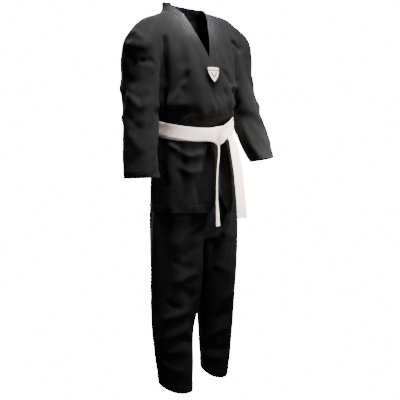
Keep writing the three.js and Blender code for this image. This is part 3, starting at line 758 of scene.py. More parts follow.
def drape(cloth_obj, form, firmness):
    """Simulates one object as cloth round another, with its points held that firmly."""
    group = cloth_obj.vertex_groups.new(name="hold")
    for value in np.unique(firmness[firmness > 0]):
        group.add(np.flatnonzero(firmness == value).tolist(), float(value), "REPLACE")
    form.modifiers.new("collision", "COLLISION")
    form.collision.thickness_outer = 0.003
    cloth = cloth_obj.modifiers.new("cloth", "CLOTH")
    cloth.settings.quality = 6
    cloth.settings.mass = 0.3
    cloth.settings.tension_stiffness = 15
    cloth.settings.compression_stiffness = 15
    cloth.settings.shear_stiffness = 6
    cloth.settings.bending_stiffness = 6
    cloth.settings.tension_damping = 10
    cloth.settings.compression_damping = 10
    cloth.settings.shrink_min = -EXTRA_CLOTH
    cloth.settings.shrink_max = -EXTRA_CLOTH
    cloth.settings.vertex_group_mass = group.name
    cloth.collision_settings.use_self_collision = False
    cloth.collision_settings.distance_min = 0.003
    cloth.point_cache.frame_start = 1
    cloth.point_cache.frame_end = FRAMES
    for number in range(1, FRAMES + 1):
        bpy.context.scene.frame_set(number)
    apply_modifiers(cloth_obj)


def settle(obj, stations, limbs, hold):
    """Moves obj by the folds that a coarse copy gets as it settles over an inner form.

    The copy has a little more cloth than its shape needs. hold(points) is how firmly each point
    is held, from 0 to 1.
    """
    coarse = garment_form("coarse", stations, limbs)
    remesh(coarse, COARSE_VOXEL, 4)
    inner = garment_form("inner", stations, limbs, grow=-INNER_GAP)
    remesh(inner, COARSE_VOXEL, 4)
    rest = coordinates(coarse.data)
    push = np.array([noise.noise(Vector(p) / (38 * MM)) for p in rest]) * 2 * MM
    set_coordinates(coarse.data, rest + normals(coarse.data) * push[:, None])
    drape(coarse, inner, np.round(hold(rest / MM), 2))
    moved = coordinates(coarse.data) - rest
    drift = near_mean(rest, moved, rest, FOLD_SPREAD * MM, 120)
    moved -= DRIFT_SHARE * drift
    far = np.linalg.norm(moved, axis=1, keepdims=True) + 1e-9
    moved *= FOLD_CAP * MM * np.tanh(far / (FOLD_CAP * MM)) / far
    fine = coordinates(obj.data)
    set_coordinates(obj.data, fine + near_mean(rest, moved, fine, 0.8 * COARSE_VOXEL * MM, 9))
    bpy.data.objects.remove(inner)
    bpy.data.objects.remove(coarse)
    bpy.context.scene.frame_set(1)


def belt_height(x, y):
    """Height of the belt's middle round the waist: lower in front, higher on the left."""
    lift = np.clip((x - 30) / 75, 0, 1)
    return BELT_Z + BELT_LEAN * y + BELT_LEFT_RISE * lift * lift * (3 - 2 * lift)


def hold_top(points):
    """Firm over the shoulders and under the belt, and free elsewhere."""
    x, y, z = points.T
    trunk = abs(x) < 152
    held = np.clip((z + 95) / 90, 0, 1) * np.clip((175 - abs(x)) / 50, 0.25, 1)
    belt = np.clip((32 - abs(z - belt_height(x, y))) / 10, 0, 1) * trunk
    return np.maximum(held, belt)


def hold_trousers(points):
    """Firm at the waistband only."""
    return np.clip((points[:, 2] + 430) / 60, 0, 1)


# ---- Garments -----------------------------------------------------------------------------
ARM_LOFTS = [run_past(ARMS["right"]), run_past(ARMS["left"])]
LEG_LOFTS = [run_past(LEGS["right"]), run_past(LEGS["left"])]
top = garment_form("top", TOP_STATIONS, ARM_LOFTS)
remesh(top, VOXEL, 10)
trousers = garment_form("trousers", SEAT_STATIONS, LEG_LOFTS)
remesh(trousers, VOXEL, 10)
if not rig.quick():
    settle(top, TOP_STATIONS, ARM_LOFTS, hold_top)
    settle(trousers, SEAT_STATIONS, LEG_LOFTS, hold_trousers)
crease(top, TOP_FOLDS)
crease(trousers, SEAT_FOLDS)

# ---- Cutting the garments into their pieces -----------------------------------------------


def collar_top(x, y):
    high_x, high_y = COLLAR_HIGH
    return COLLAR_TOP_Z - COLLAR_FALL * (x - high_x) + COLLAR_RISE * (y - high_y)


def neck_half(z):
    heights, halves = zip(*NECK_V)
    return np.interp(z, heights, halves)


def lapel_half(z):
    heights, halves = zip(*LAPEL)
    return np.interp(z, heights, halves)


def side_plane():
    return (0, SIDE_SEAM_Y, 0), Vector((0, 1, -SIDE_SEAM_SLOPE)).normalized()


def seam_side(side):
    """A point on one side's sleeve seam and its normal, which points down the arm."""
    sign = SIDES[side]
    (x, y, z), (a, b, c) = SLEEVE_SEAM
    return (sign * x, y, z), (sign * a, -b, -c)


def underarm_x(z):
    """Half width of the line between the body and the sleeve below the armpit."""
    return UNDERARM_X + UNDERARM_SLOPE * np.maximum(0, UNDERARM_Z - z)


def on_sleeve(points, side):
    outer = SIDES[side] * points[:, 0] > underarm_x(points[:, 2])
    return beyond_plane(points, *seam_side(side)) & outer


def cut_neck(bm):
    """The V, the lapels' outer edges and the bottom of the back neck band."""
    front = lambda c: c.y < SIDE_SEAM_Y + SIDE_SEAM_SLOPE * c.z and c.z > -175 and abs(c.x) < 100
    for line in (NECK_V, LAPEL):
        for (low, inner), (high, outer) in zip(line, line[1:]):
            for sign in (-1, 1):
                normal = Vector((high - low, 0, -(outer - inner))).normalized()
                normal.x *= sign
                inside = lambda c: front(c) and low - 6 < c.z < high + 6 and sign * c.x > -6
                cut(bm, (sign * inner, 0, low), normal, inside)
    cut(bm, (0, 0, LAPEL[0][0]), (0, 0, 1), lambda c: front(c) and abs(c.x) < 32)
    cut(bm, (0, 0, COLLAR_BASE_Z), (0, 0, 1), lambda c: c.y > 20)


def cut_vent(bm):
    for x, z in VENT_LOW:
        along = Vector((VENT_APEX[0] - x, 0, VENT_APEX[1] - z))
        normal = Vector((-along.z, 0, along.x)).normalized()
        cut(bm, (x, 0, z), normal, lambda c: c.y < 0 and c.z < VENT_APEX[1] + 4 and abs(c.x) < 75)


def cut_top(mesh):
    bm = bmesh.new()
    bm.from_mesh(mesh)
    slope = Vector((COLLAR_FALL, -COLLAR_RISE, 1)).normalized()
    cut(bm, (0, 0, collar_top(0, 0)), slope, clear=True)
    cut(bm, (0, 0, TOP_HEM_Z), (0, 0, -1), lambda c: abs(c.x) < TRUNK_HALF, clear=True)
    low = lambda c: c.z < TOP_HEM_Z + 40 and abs(c.x) < TRUNK_HALF
    cut(bm, (0, 0, TOP_HEM_Z + HEM_DEPTH), (0, 0, 1), low)
    cut_neck(bm)
    cut_vent(bm)
    point, normal = side_plane()
    cut(bm, point, normal, lambda c: abs(c.x) > 40)
    for side, rings in ARMS.items():
        sign = SIDES[side]
        at, across = limb_end(rings)
        far = lambda c: sign * c.x > 150 and c.z < CUFFS_BELOW_Z
        cut(bm, at, across, far, clear=True)
        cut(bm, limb_end(rings, HEM_DEPTH)[0], across, far)
        cut(bm, *seam_side(side), lambda c: sign * c.x > SLEEVE_INNER and c.z > UNDERARM_Z)
        web = lambda c: sign * c.x > SLEEVE_INNER and UNDERARM_Z - 22 < c.z < UNDERARM_Z + 60
        cut(bm, (sign * UNDERARM_X, 0, 0), (sign, 0, 0), web)
    bm.to_mesh(mesh)
    bm.free()
    mesh.update()


def top_regions(points):
    """Which named piece of the top each face middle belongs to, as masks."""
    x, y, z = points.T
    regions = {}
    sleeves = {side: on_sleeve(points, side) & (abs(x) > SLEEVE_INNER) for side in ARMS}
    trunk = ~(sleeves["right"] | sleeves["left"])
    for side, rings in ARMS.items():
        hem = beyond_plane(points, *limb_end(rings, HEM_DEPTH)) & (z < CUFFS_BELOW_Z)
        regions[f"sleeve_{side}"] = sleeves[side] & ~hem
        regions[f"cuff_{side}"] = sleeves[side] & hem
    front = trunk & (y < SIDE_SEAM_Y + SIDE_SEAM_SLOPE * z)
    back = trunk & ~front
    opening = front & (abs(x) < neck_half(z)) & (z > NECK_V[0][0])
    lapels = front & ~opening & (abs(x) < lapel_half(z)) & (z > LAPEL[0][0])
    rise = (VENT_APEX[1] - z) / (VENT_APEX[1] - VENT_LOW[0][1])
    low_x = VENT_APEX[0] + (VENT_LOW[0][0] - VENT_APEX[0]) * rise
    high_x = VENT_APEX[0] + (VENT_LOW[1][0] - VENT_APEX[0]) * rise
    vent = front & (y < 0) & (z < VENT_APEX[1]) & (x > low_x) & (x < high_x)
    hem = z < TOP_HEM_Z + HEM_DEPTH
    body = front & ~opening & ~lapels & ~vent
    regions["lapel_right"] = lapels & (x < 0)
    regions["lapel_left"] = lapels & (x >= 0)
    regions["front"] = body & ~hem
    regions["front_hem_right"] = body & hem & (x < VENT_APEX[0])
    regions["front_hem_left"] = body & hem & (x >= VENT_APEX[0])
    collar = back & (z > COLLAR_BASE_Z)
    regions["neck_band"] = collar
    regions["back"] = back & ~collar & ~hem
    regions["back_hem"] = back & hem
    return regions


def leg_seam_y(rings, z):
    heights = [-r[2] for r in rings]
    return np.interp(-z, heights, [r[1] for r in rings])


def cut_trousers(mesh):
    bm = bmesh.new()
    bm.from_mesh(mesh)
    cut(bm, (0, 0, SEAT_TOP_Z), (0, 0, 1), clear=True)
    cut(bm, (0, 0, 0), (1, 0, 0), lambda c: abs(c.x) < 12)
    low, high = GUSSET_Z
    under = lambda c: low < c.z < high and abs(c.x) < 40 and abs(c.y) < 75
    for a, b in zip(GUSSET, GUSSET[1:] + GUSSET[:1]):
        cut(bm, (*a, 0), Vector((b[1] - a[1], a[0] - b[0], 0)).normalized(), under)
    for side, rings in LEGS.items():
        sign = SIDES[side]
        at, across = limb_end(rings)
        ankle = lambda c: sign * c.x > 0 and c.z < LEG_HEMS_BELOW_Z
        cut(bm, at, across, ankle, clear=True)
        cut(bm, limb_end(rings, HEM_DEPTH)[0], across, ankle)
        joints = [(rings[0][0], rings[0][1], 0), *[r[:3] for r in rings]]
        for a, b in zip(joints, joints[1:]):
            normal = Vector((0, a[2] - b[2], b[1] - a[1])).normalized()
            here = lambda c: sign * c.x > -1 and b[2] - 8 < c.z < a[2] + 8
            cut(bm, (0, a[1], a[2]), normal, here)
    bm.to_mesh(mesh)
    bm.free()
    mesh.update()


def trouser_regions(points):
    """Which named piece of the trousers each face middle belongs to, as masks."""
    x, y, z = points.T
    regions = {}
    inside = np.full(len(x), True)
    for a, b in zip(GUSSET, GUSSET[1:] + GUSSET[:1]):
        inside &= (b[0] - a[0]) * (y - a[1]) - (b[1] - a[1]) * (x - a[0]) > 0
    gusset = inside & (z > GUSSET_Z[0]) & (z < GUSSET_Z[1])
    for side, rings in LEGS.items():
        half = (x < 0) if side == "right" else (x >= 0)
        half = half & ~gusset
        hem = half & beyond_plane(points, *limb_end(rings, HEM_DEPTH)) & (z < LEG_HEMS_BELOW_Z)
        ahead = y < leg_seam_y(rings, z)
        regions[f"trouser_front_{side}"] = half & ~hem & ahead
        regions[f"trouser_back_{side}"] = half & ~hem & ~ahead
        regions[f"trouser_hem_{side}"] = hem
    regions["gusset"] = gusset
    return regions


def round_uv(obj, axis, radius):
    """Lengths round and along an upright tube as its UV map, in metres, for the weave."""
    mesh = obj.data
    co = coordinates(mesh)
    index = np.empty(len(mesh.loops), int)
    mesh.loops.foreach_get("vertex_index", index)
    starts = np.empty(len(mesh.polygons), int)
    mesh.polygons.foreach_get("loop_start", starts)
    counts = np.empty(len(mesh.polygons), int)
    mesh.polygons.foreach_get("loop_total", counts)
    middle = axis(co[:, 2] / MM) * MM
    angle = np.arctan2(co[:, 0] - middle[:, 0], -(co[:, 1] - middle[:, 1]))[index]
    first = np.repeat(angle[starts], counts)
    angle = np.where(angle - first > math.pi, angle - 2 * math.pi, angle)
    angle = np.where(angle - first < -math.pi, angle + 2 * math.pi, angle)
    uv = np.stack([angle * radius * MM, co[index, 2]], 1)
    layer = mesh.uv_layers.new(name="UVMap")
    layer.data.foreach_set("uv", uv.ravel())


def trunk_axis(z):
    return np.stack([np.zeros_like(z), np.full_like(z, float(TRUNK_Y))], 1)


def limb_axis(rings):
    heights = [-r[2] for r in rings]
    middles = np.array([r[:2] for r in rings])
    return lambda z: np.stack([np.interp(-z, heights, middles[:, i]) for i in (0, 1)], 1)


def smooth_shading(obj, sharp_from=None):
    """Smooth shading, except along edges that bend more than sharp_from degrees."""
    obj.data.polygons.foreach_set("use_smooth", np.full(len(obj.data.polygons), True))
    if sharp_from is not None:
        obj.data.set_sharp_from_angle(angle=math.radians(sharp_from))
    obj.data.update()


def finish_sheet(obj, thickness, outer):
    """Gives a cut piece its thickness, with that share of it outside the garment's surface."""
    solid = obj.modifiers.new("thickness", "SOLIDIFY")
    solid.thickness = thickness * MM
    solid.offset = 2 * outer - 1
    apply_modifiers(obj)
    smooth_shading(obj, 55)


# ---- Materials ----------------------------------------------------------------------------
CLOTH_ROUGHNESS = 0.8


class Nodes:
    """A short way to write a material's nodes."""

    def __init__(self, name, roughness, specular):
        self.material = bpy.data.materials.new(name)
        self.material.use_nodes = True
        self.tree = self.material.node_tree
        self.shader = self.tree.nodes["Principled BSDF"]
        self.shader.inputs["Roughness"].default_value = roughness
        self.shader.inputs["Specular IOR Level"].default_value = specular

    def node(self, kind, **values):
        made = self.tree.nodes.new(kind)
        for key, value in values.items():
            setattr(made, key, value)
        return made

    def link(self, source, target):
        self.tree.links.new(source, target)

    def math(self, operation, *inputs):
        made = self.node("ShaderNodeMath", operation=operation)
        for socket, value in zip(made.inputs, inputs):
            if isinstance(value, (int, float)):
                socket.default_value = value
            else:
                self.link(value, socket)
        return made.outputs[0]

    def noise(self, vector, scale, detail=3.0):
        made = self.node("ShaderNodeTexNoise")
        made.inputs["Scale"].default_value = scale
        made.inputs["Detail"].default_value = detail
        self.link(vector, made.inputs["Vector"])
        return made.outputs["Fac"]

    def blend(self, factor, low, high):
        made = self.node("ShaderNodeMix", data_type="RGBA")
        made.inputs[0].default_value = 0.5
        self.link(factor, made.inputs[0])
        for number, value in ((6, low), (7, high)):
            if isinstance(value, tuple):
                made.inputs[number].default_value = (*value, 1)
            else:
                self.link(value, made.inputs[number])
        return made.outputs[2]

    def bump(self, height, strength, distance, under=None):
        made = self.node("ShaderNodeBump")
        made.inputs["Strength"].default_value = strength
        made.inputs["Distance"].default_value = distance
        self.link(height, made.inputs["Height"])
        if under is not None:
            self.link(under, made.inputs["Normal"])
        return made.outputs["Normal"]


def weave_height(nodes, pitch):
    """Threads that cross over and under, from the UV map in metres."""
    uv = nodes.node("ShaderNodeUVMap", uv_map="UVMap").outputs[0]
    split = nodes.node("ShaderNodeSeparateXYZ")
    nodes.link(uv, split.inputs[0])
    turns = 2 * math.pi / pitch
    across = nodes.math("SINE", nodes.math("MULTIPLY", split.outputs[0], turns))
    along = nodes.math("SINE", nodes.math("MULTIPLY", split.outputs[1], turns))
    return nodes.math("MULTIPLY", across, along), split


def cloth_material(name, dark, light, pitch, specular=0.05, sheen=0.01):
    """Woven cloth with that thread pitch in metres, mottled between two tones and lighter on edges."""
    nodes = Nodes(name, CLOTH_ROUGHNESS, specular)
    place = nodes.node("ShaderNodeTexCoord").outputs["Object"]
    weave, _ = weave_height(nodes, pitch)
    broad = nodes.noise(place, 9.0)
    fine = nodes.noise(place, 900.0, 2.0)
    mottle = nodes.math("ADD", nodes.math("MULTIPLY", broad, 0.6), nodes.math("MULTIPLY", fine, 0.4))
    worn = nodes.math("SUBTRACT", nodes.node("ShaderNodeNewGeometry").outputs["Pointiness"], 0.5)
    worn = nodes.math("MAXIMUM", nodes.math("MULTIPLY", worn, 3.0), 0.0)
    factor = nodes.math("MINIMUM", nodes.math("ADD", mottle, worn), 1.0)
    nodes.link(nodes.blend(factor, dark, light), nodes.shader.inputs["Base Color"])
    rough = nodes.math("ADD", nodes.math("MULTIPLY", broad, 0.1), CLOTH_ROUGHNESS)
    nodes.link(rough, nodes.shader.inputs["Roughness"])
    nodes.shader.inputs["Sheen Weight"].default_value = sheen
    nodes.shader.inputs["Sheen Roughness"].default_value = 0.5
    soft = nodes.bump(nodes.noise(place, 60.0, 4.0), 0.18, 0.0012)
    nodes.link(nodes.bump(weave, 0.35, 0.00015, soft), nodes.shader.inputs["Normal"])
    return nodes.material


def belt_material(name, dark, light, groove_pitch, stitch_pitch):
    """Cotton webbing sewn with lengthwise rows of stitches, with painted shade in the grooves between them. U runs
    across it and V along it.
    """
    nodes = Nodes(name, 0.9, 0.2)
    place = nodes.node("ShaderNodeTexCoord").outputs["Object"]
    weave, split = weave_height(nodes, 0.0011)
    row = nodes.math("MULTIPLY", split.outputs[0], math.pi / groove_pitch)
    ridge = nodes.math("ABSOLUTE", nodes.math("SINE", row))
    ridge = nodes.math("POWER", ridge, 0.35)
    dash = nodes.math("SINE", nodes.math("MULTIPLY", split.outputs[1], 2 * math.pi / stitch_pitch))
    groove = nodes.math("LESS_THAN", ridge, 0.55)
    thread = nodes.math("MULTIPLY", groove, nodes.math("GREATER_THAN", dash, -0.3))
    broad = nodes.noise(place, 25.0, 5.0)
    fine = nodes.noise(place, 1400.0, 2.0)
    tone = nodes.math("ADD", nodes.math("MULTIPLY", broad, 0.5), nodes.math("MULTIPLY", fine, 0.5))
    # Painted shade: the grooves between the ridges are painted darker.
    tone = nodes.math("MULTIPLY", tone, nodes.math("ADD", nodes.math("MULTIPLY", ridge, 0.45), 0.55))
    tone = nodes.math("ADD", tone, nodes.math("MULTIPLY", thread, 0.25))
    nodes.link(nodes.blend(tone, dark, light), nodes.shader.inputs["Base Color"])
    nodes.shader.inputs["Sheen Weight"].default_value = 0.1
    height = nodes.math("ADD", ridge, nodes.math("MULTIPLY", thread, 0.7))
    height = nodes.math("ADD", height, nodes.math("MULTIPLY", weave, 0.12))
    nodes.link(nodes.bump(height, 0.6, 0.0005), nodes.shader.inputs["Normal"])
    return nodes.material


def plain_material(name, colour, roughness, metallic=0.0):
    nodes = Nodes(name, roughness, 0.3)
    place = nodes.node("ShaderNodeTexCoord").outputs["Object"]
    dark = tuple(0.75 * c for c in colour)
    speckle = nodes.noise(place, 500.0, 4.0)
    nodes.link(nodes.blend(speckle, dark, colour), nodes.shader.inputs["Base Color"])
    nodes.shader.inputs["Metallic"].default_value = metallic
    nodes.link(nodes.bump(speckle, 0.2, 0.0002), nodes.shader.inputs["Normal"])
    return nodes.material


BLACK = cloth_material("black_cloth", (0.0034, 0.0034, 0.0035), (0.0075, 0.0075, 0.0077), 0.0013)
BAND = cloth_material("black_band", (0.0038, 0.0038, 0.0039), (0.008, 0.008, 0.0082), 0.0013)
# The facing's cloth is the black cloth painted much darker: painted shade inside the back of the neck.
FACING_PAINTED_SHADE = cloth_material(
    "black_facing", (0.001, 0.001, 0.0011), (0.002, 0.002, 0.0022), 0.0013, specular=0, sheen=0
)
CREAM = belt_material("belt_cotton", (0.62, 0.515, 0.44), (0.97, 0.85, 0.765), 0.0044, 0.0034)
BADGE = cloth_material("badge_cloth", (0.5, 0.46, 0.43), (0.72, 0.68, 0.64), 0.0008)
BORDER = cloth_material("badge_border", (0.014, 0.012, 0.012), (0.035, 0.03, 0.03), 0.0006)
MARK = cloth_material("badge_mark", (0.02, 0.02, 0.022), (0.06, 0.06, 0.062), 0.0006)
LABEL = cloth_material("label_cloth", (0.6, 0.6, 0.58), (0.8, 0.8, 0.78), 0.0005)
ELASTIC = cloth_material("elastic", (0.5, 0.5, 0.48), (0.75, 0.75, 0.72), 0.0009)
THREAD = plain_material("black_thread", (0.008, 0.008, 0.0085), 0.8)
METAL = plain_material("eyelet_metal", (0.5, 0.5, 0.5), 0.35, 1.0)


def paint(obj, material, slot):
    obj.data.materials.clear()
    obj.data.materials.append(material)
    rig.slot(obj, slot)


# ---- Sewn rows ----------------------------------------------------------------------------


def along_rays(tree, starts, ways, lift, keep=None):
    """Points where rays meet the surface, lifted off it, with its normals, in metres."""
    points = []
    for start, way in zip(starts, ways):
        place, normal, _, _ = tree.ray_cast(Vector(start) * MM, Vector(way).normalized(), 0.6)
        if place is None or (keep is not None and not keep(place / MM)):
            points.append(None)
            continue
        points.append((place + normal * lift * MM, normal))
    return points


def unbroken_runs(rows):
    """The rows of (point, normal) pairs, split where they hold None; short runs are left out."""
    for row in rows:
        run = []
        for item in [*row, None]:
            if item is not None:
                run.append(item)
                continue
            if len(run) >= 3:
                yield run
            run = []


def thread(ends, out, base):
    """Vertices and faces of one stitch along four points; its vertices are numbered from base."""
    half = THREAD_THICK / 2 * MM
    side = np.cross(ends[-1] - ends[0], out)
    side /= np.linalg.norm(side) + 1e-12
    out = out / (np.linalg.norm(out) + 1e-12)
    verts, faces = [], []
    for i, centre in enumerate(ends):
        rise = half if i in (1, 2) else -0.6 * half
        wide = half if i in (1, 2) else 0.5 * half
        verts.append(centre + side * wide - out * half)
        verts.append(centre + side * wide * 0.7 + out * rise)
        verts.append(centre - side * wide * 0.7 + out * rise)
        verts.append(centre - side * wide - out * half)
    for i in range(3):
        for j in range(4):
            a, b = base + 4 * i + j, base + 4 * i + (j + 1) % 4
            faces.append((a, b, b + 4, a + 4))
    faces.append((base + 3, base + 2, base + 1, base))
    faces.append((base + 12, base + 13, base + 14, base + 15))
    return verts, faces


def stitch_rows(name, rows, slot):
    """Short raised threads along each row of (point, normal) pairs; None breaks a row."""
    verts, faces = [], []
    for run in unbroken_runs(rows):
        points = np.array([tuple(p) for p, _ in run])
        outs = np.array([tuple(n) for _, n in run])
        steps = np.linalg.norm(np.diff(points, axis=0), axis=1)
        lengths = np.concatenate([[0], np.cumsum(steps)])
        for start in np.arange(int(lengths[-1] / (STITCH * MM))) * STITCH * MM:
            places = start + np.array([0.0, 0.2, 0.8, 1.0]) * (STITCH - STITCH_GAP) * MM
            ends = np.stack([np.interp(places, lengths, points[:, i]) for i in range(3)], 1)
            out = np.array([np.interp(start, lengths, outs[:, i]) for i in range(3)])
            more_verts, more_faces = thread(ends, out, len(verts))
            verts += more_verts
            faces += more_faces
    obj = mesh_object(name, verts, faces)
    with_normals_out(obj)
    smooth_shading(obj)
    paint(obj, THREAD, slot)
    return obj


def surface_tree(obj):
    bm = bmesh.new()
    bm.from_mesh(obj.data)
    tree = BVHTree.FromBMesh(bm)
    bm.free()
    return tree


# ---- Strips of webbing --------------------------------------------------------------------
STRIP_COLUMNS = 20


def strip_caps(count, share):
    """Faces and UVs that close the two ends of a strip."""
    ring = 2 * STRIP_COLUMNS
    faces, face_uvs = [], []
    for start, turn in ((0, 1), ((count - 1) * ring, -1)):
        for k in range(STRIP_COLUMNS - 1):
            a, b = start + k, start + k + 1
            c, d = start + ring - 2 - k, start + ring - 1 - k
            faces.append((a, d, c, b)[::turn])
            u, v = ((share[n] - 0.5) * BELT_WIDTH * MM for n in (k, k + 1))
            face_uvs.append(((u, 0), (u, 0), (v, 0), (v, 0)))
    return faces, face_uvs


def strip(name, left, right, thick, per_gap=8, closed=False, dome=0.0):
    """A webbing strip between two edge lines, with rounded edges and its own UV map in metres."""
    if closed:
        lefts, rights = np.array(left, float), np.array(right, float)
    else:
        lefts, rights = smooth_rows(left, per_gap), smooth_rows(right, per_gap)
    count = len(lefts)
    across = rights - lefts
    middle = (lefts + rights) / 2
    if closed:
        forward = np.roll(middle, -1, 0) - np.roll(middle, 1, 0)
    else:
        forward = np.gradient(middle, axis=0)
    out = np.cross(across, forward)
    out /= np.linalg.norm(out, axis=1, keepdims=True) + 1e-9
    share = np.linspace(0, 1, STRIP_COLUMNS)
    edge = np.clip(np.minimum(share, 1 - share) * 22, 0, 1)
    half = thick / 2 * np.sqrt(np.clip(1 - (1 - edge) ** 2, 0.04, 1))
    swell = dome * np.sin(share * math.pi)
    width = np.linalg.norm(across, axis=1)
    steps = np.linalg.norm(np.diff(middle, axis=0), axis=1)
    run = np.concatenate([[0], np.cumsum(steps)])
    verts, uvs = [], []
    for i in range(count):
        for sign, order in ((1, range(STRIP_COLUMNS)), (-1, range(STRIP_COLUMNS - 1, -1, -1))):
            for k in order:
                verts.append(lefts[i] + across[i] * share[k] + out[i] * (swell[k] + sign * half[k]))
                uvs.append(((share[k] - 0.5) * width[i] * MM, run[i] * MM))
    ring = 2 * STRIP_COLUMNS
    faces, face_uvs = [], []
    for i in range(count if closed else count - 1):
        j = (i + 1) % count
        for k in range(ring):
            m = (k + 1) % ring
            faces.append((i * ring + k, i * ring + m, j * ring + m, j * ring + k))
            far = run[j] * MM if j else (run[-1] + steps.mean()) * MM
            near = run[i] * MM
            u, v = uvs[k][0] * width[i] / width[0], uvs[m][0] * width[i] / width[0]
            face_uvs.append(((u, near), (v, near), (v, far), (u, far)))
    if not closed:
        cap_faces, cap_uvs = strip_caps(count, share)
        faces += cap_faces
        face_uvs += cap_uvs
    obj = mesh_object(name, np.array(verts) * MM, faces)
    layer = obj.data.uv_layers.new(name="UVMap")
    layer.data.foreach_set("uv", np.array([c for f in face_uvs for c in f]).ravel())
    with_normals_out(obj)
    smooth_shading(obj, 60)
    return obj


# ---- The top's pieces ---------------------------------------------------------------------
cut_top(top.data)
top_masks = top_regions(face_centres(top.data))
PIECES = {}
for name, mask in top_masks.items():
    PIECES[name] = subset(top.data, mask, name)
top_tree = surface_tree(top)
bpy.data.objects.remove(top)

cut_trousers(trousers.data)
for name, mask in trouser_regions(face_centres(trousers.data)).items():
    PIECES[name] = subset(trousers.data, mask, name)
trouser_tree = surface_tree(trousers)
bpy.data.objects.remove(trousers)

BANDS = ("lapel", "cuff", "neck_band", "front_hem", "back_hem", "trouser_hem", "gusset")
for name, obj in PIECES.items():
    side = "left" if name.endswith("left") else "right"
    if name.startswith(("sleeve", "cuff")):
        round_uv(obj, limb_axis(ARMS[side]), ARM_RADIUS)
    elif name.startswith("trouser"):
        round_uv(obj, limb_axis(LEGS[side]), LEG_RADIUS)
    else:
        round_uv(obj, trunk_axis, TRUNK_RADIUS)
    if name.startswith(BANDS):
        finish_sheet(obj, BAND_THICK, 0.4)
        paint(obj, BAND, "black_band")
    else:
        finish_sheet(obj, CLOTH_THICK, 0.0)
        paint(obj, BLACK, "black_cloth")


def inside_back(x, z, gap):
    """A point that distance in front of the inside of the garment's back."""
    place = top_tree.ray_cast(Vector((x, 40, z)) * MM, Vector((0, 1, 0)), 0.2)[0]
    return tuple(place / MM - Vector((0, gap, 0)))


facing_places = np.linspace(FACING_HALF, -FACING_HALF, 25)
facing = strip(
    "neck_facing",
    [inside_back(x, FACING_LOW, FACING_GAP) for x in facing_places],
    [inside_back(x, collar_top(x, COLLAR_BACK_Y) - FACING_DROP, FACING_GAP) for x in facing_places],
    0.9,
    per_gap=2,
)
# The facing takes the darker copy of the black cloth, as painted shade.
paint(facing, FACING_PAINTED_SHADE, "black_band")
label_places = np.linspace(LABEL_HALF, -LABEL_HALF, 5)
label = strip(
    "size_label",
    [inside_back(x, LABEL_LOW, LABEL_GAP) for x in label_places],
    [inside_back(x, FACING_LOW + 2, LABEL_GAP) for x in label_places],
    0.7,
)
paint(label, LABEL, "label_cloth")

# ---- Belt ---------------------------------------------------------------------------------


def belt_turn(name, grow, stagger):
    """One turn of the belt round the waist; stagger(x, y) shifts it up or down."""
    ring = station_ring((0, *WAIST), 180, grow)
    low, high = [], []
    for x, y, _ in ring:
        middle = belt_height(x, y) + stagger(x, y)
        lean = 0.06 * BELT_WIDTH * (y / WAIST[1])
        wave = 0.8 * math.sin(0.05 * x + 0.03 * y + grow)
        scale = 1 + (wave + 0.35 * lean) / TRUNK_RADIUS
        shrink = 1 + (wave - 0.35 * lean) / TRUNK_RADIUS
        low.append((x * scale, y * scale, middle - BELT_WIDTH / 2))
        high.append((x * shrink, y * shrink, middle + BELT_WIDTH / 2))
    obj = strip(name, low, high, BELT_THICK, closed=True, dome=0.6)
    paint(obj, CREAM, "belt_cotton")
    return obj


first_turn = belt_turn("belt_first_turn", 4.6, lambda x, y: -1.5 - 5 * max(0, -x / (WAIST[0] + 8)) ** 2)
second_turn = belt_turn("belt_second_turn", 7.6, lambda x, y: 1.2 * math.sin(0.03 * x))

# Each band of the knot: pairs of points on its upper and its lower edge.
WRAP_EDGES = [
    ((86, -84, -303), (90, -80, -346)),
    ((62, -107, -311), (68, -104, -352)),
    ((36, -121, -323), (44, -117, -357)),
    ((12, -128, -335), (30, -124, -369)),
    ((4, -129, -350), (20, -122, -382)),
    ((0, -125, -366), (12, -117, -388)),
    ((-1, -114, -381), (7, -109, -390)),
]
SIDE_EDGES = [
    ((-76, -82, -337), (-78, -82, -377)),
    ((-46, -93.5, -338), (-52, -93.5, -377.5)),
    ((-16, -107, -341), (-30, -103, -378)),
    ((4, -118, -347), (-12, -114, -381)),
    ((8, -119, -362), (0, -114, -388)),
    ((8, -116, -376), (7, -110, -391)),
]
CORE_EDGES = [
    ((-10, -103, -338), (-8, -103, -372)),
    ((6, -114, -334), (8, -112, -378)),
    ((26, -115, -332), (26, -112, -376)),
    ((44, -107, -334), (44, -104, -366)),
]
knot_wrap = strip("knot_wrap", *zip(*WRAP_EDGES), 3.2, dome=2.5)
knot_side = strip("knot_side", *zip(*SIDE_EDGES), 3.0, dome=1.5)
knot_core = strip("knot_core", *zip(*CORE_EDGES), 6, dome=3)
for piece in (knot_wrap, knot_side, knot_core):
    paint(piece, CREAM, "belt_cotton")


# Each step of a hanging tail: its middle, the way its width runs in degrees from +X, half its width.
RIGHT_TAIL = [
    ((7, -112, -378), 30, 6),
    ((6, -119, -396), 43, 9),
    ((3, -122, -425), 48, 16),
    ((-4, -124, -480), 49, 20),
    ((-7, -127, -550), 46, 20),
    ((-5, -130, -629), 36, 20),
]
LEFT_TAIL = [
    ((48, -104, -352), 6, 13),
    ((58, -115, -372), 14, 16),
    ((67, -123, -420), 12, 20),
    ((73, -130, -480), 10, 20),
    ((76, -136, -545), 8, 20),
    ((79, -141, -609), 5, 20),
]


def tail(name, rows):
    left, right = [], []
    for at, way, half in rows:
        way = Vector((math.cos(math.radians(way)), math.sin(math.radians(way)), 0))
        left.append(tuple(Vector(at) - way * half))
        right.append(tuple(Vector(at) + way * half))
    obj = strip(name, left, right, BELT_THICK + 0.4, per_gap=14, dome=0.4)
    paint(obj, CREAM, "belt_cotton")
    return obj


tail_right = tail("belt_tail_right", RIGHT_TAIL)
tail_left = tail("belt_tail_left", LEFT_TAIL)

# ---- Badge --------------------------------------------------------------------------------


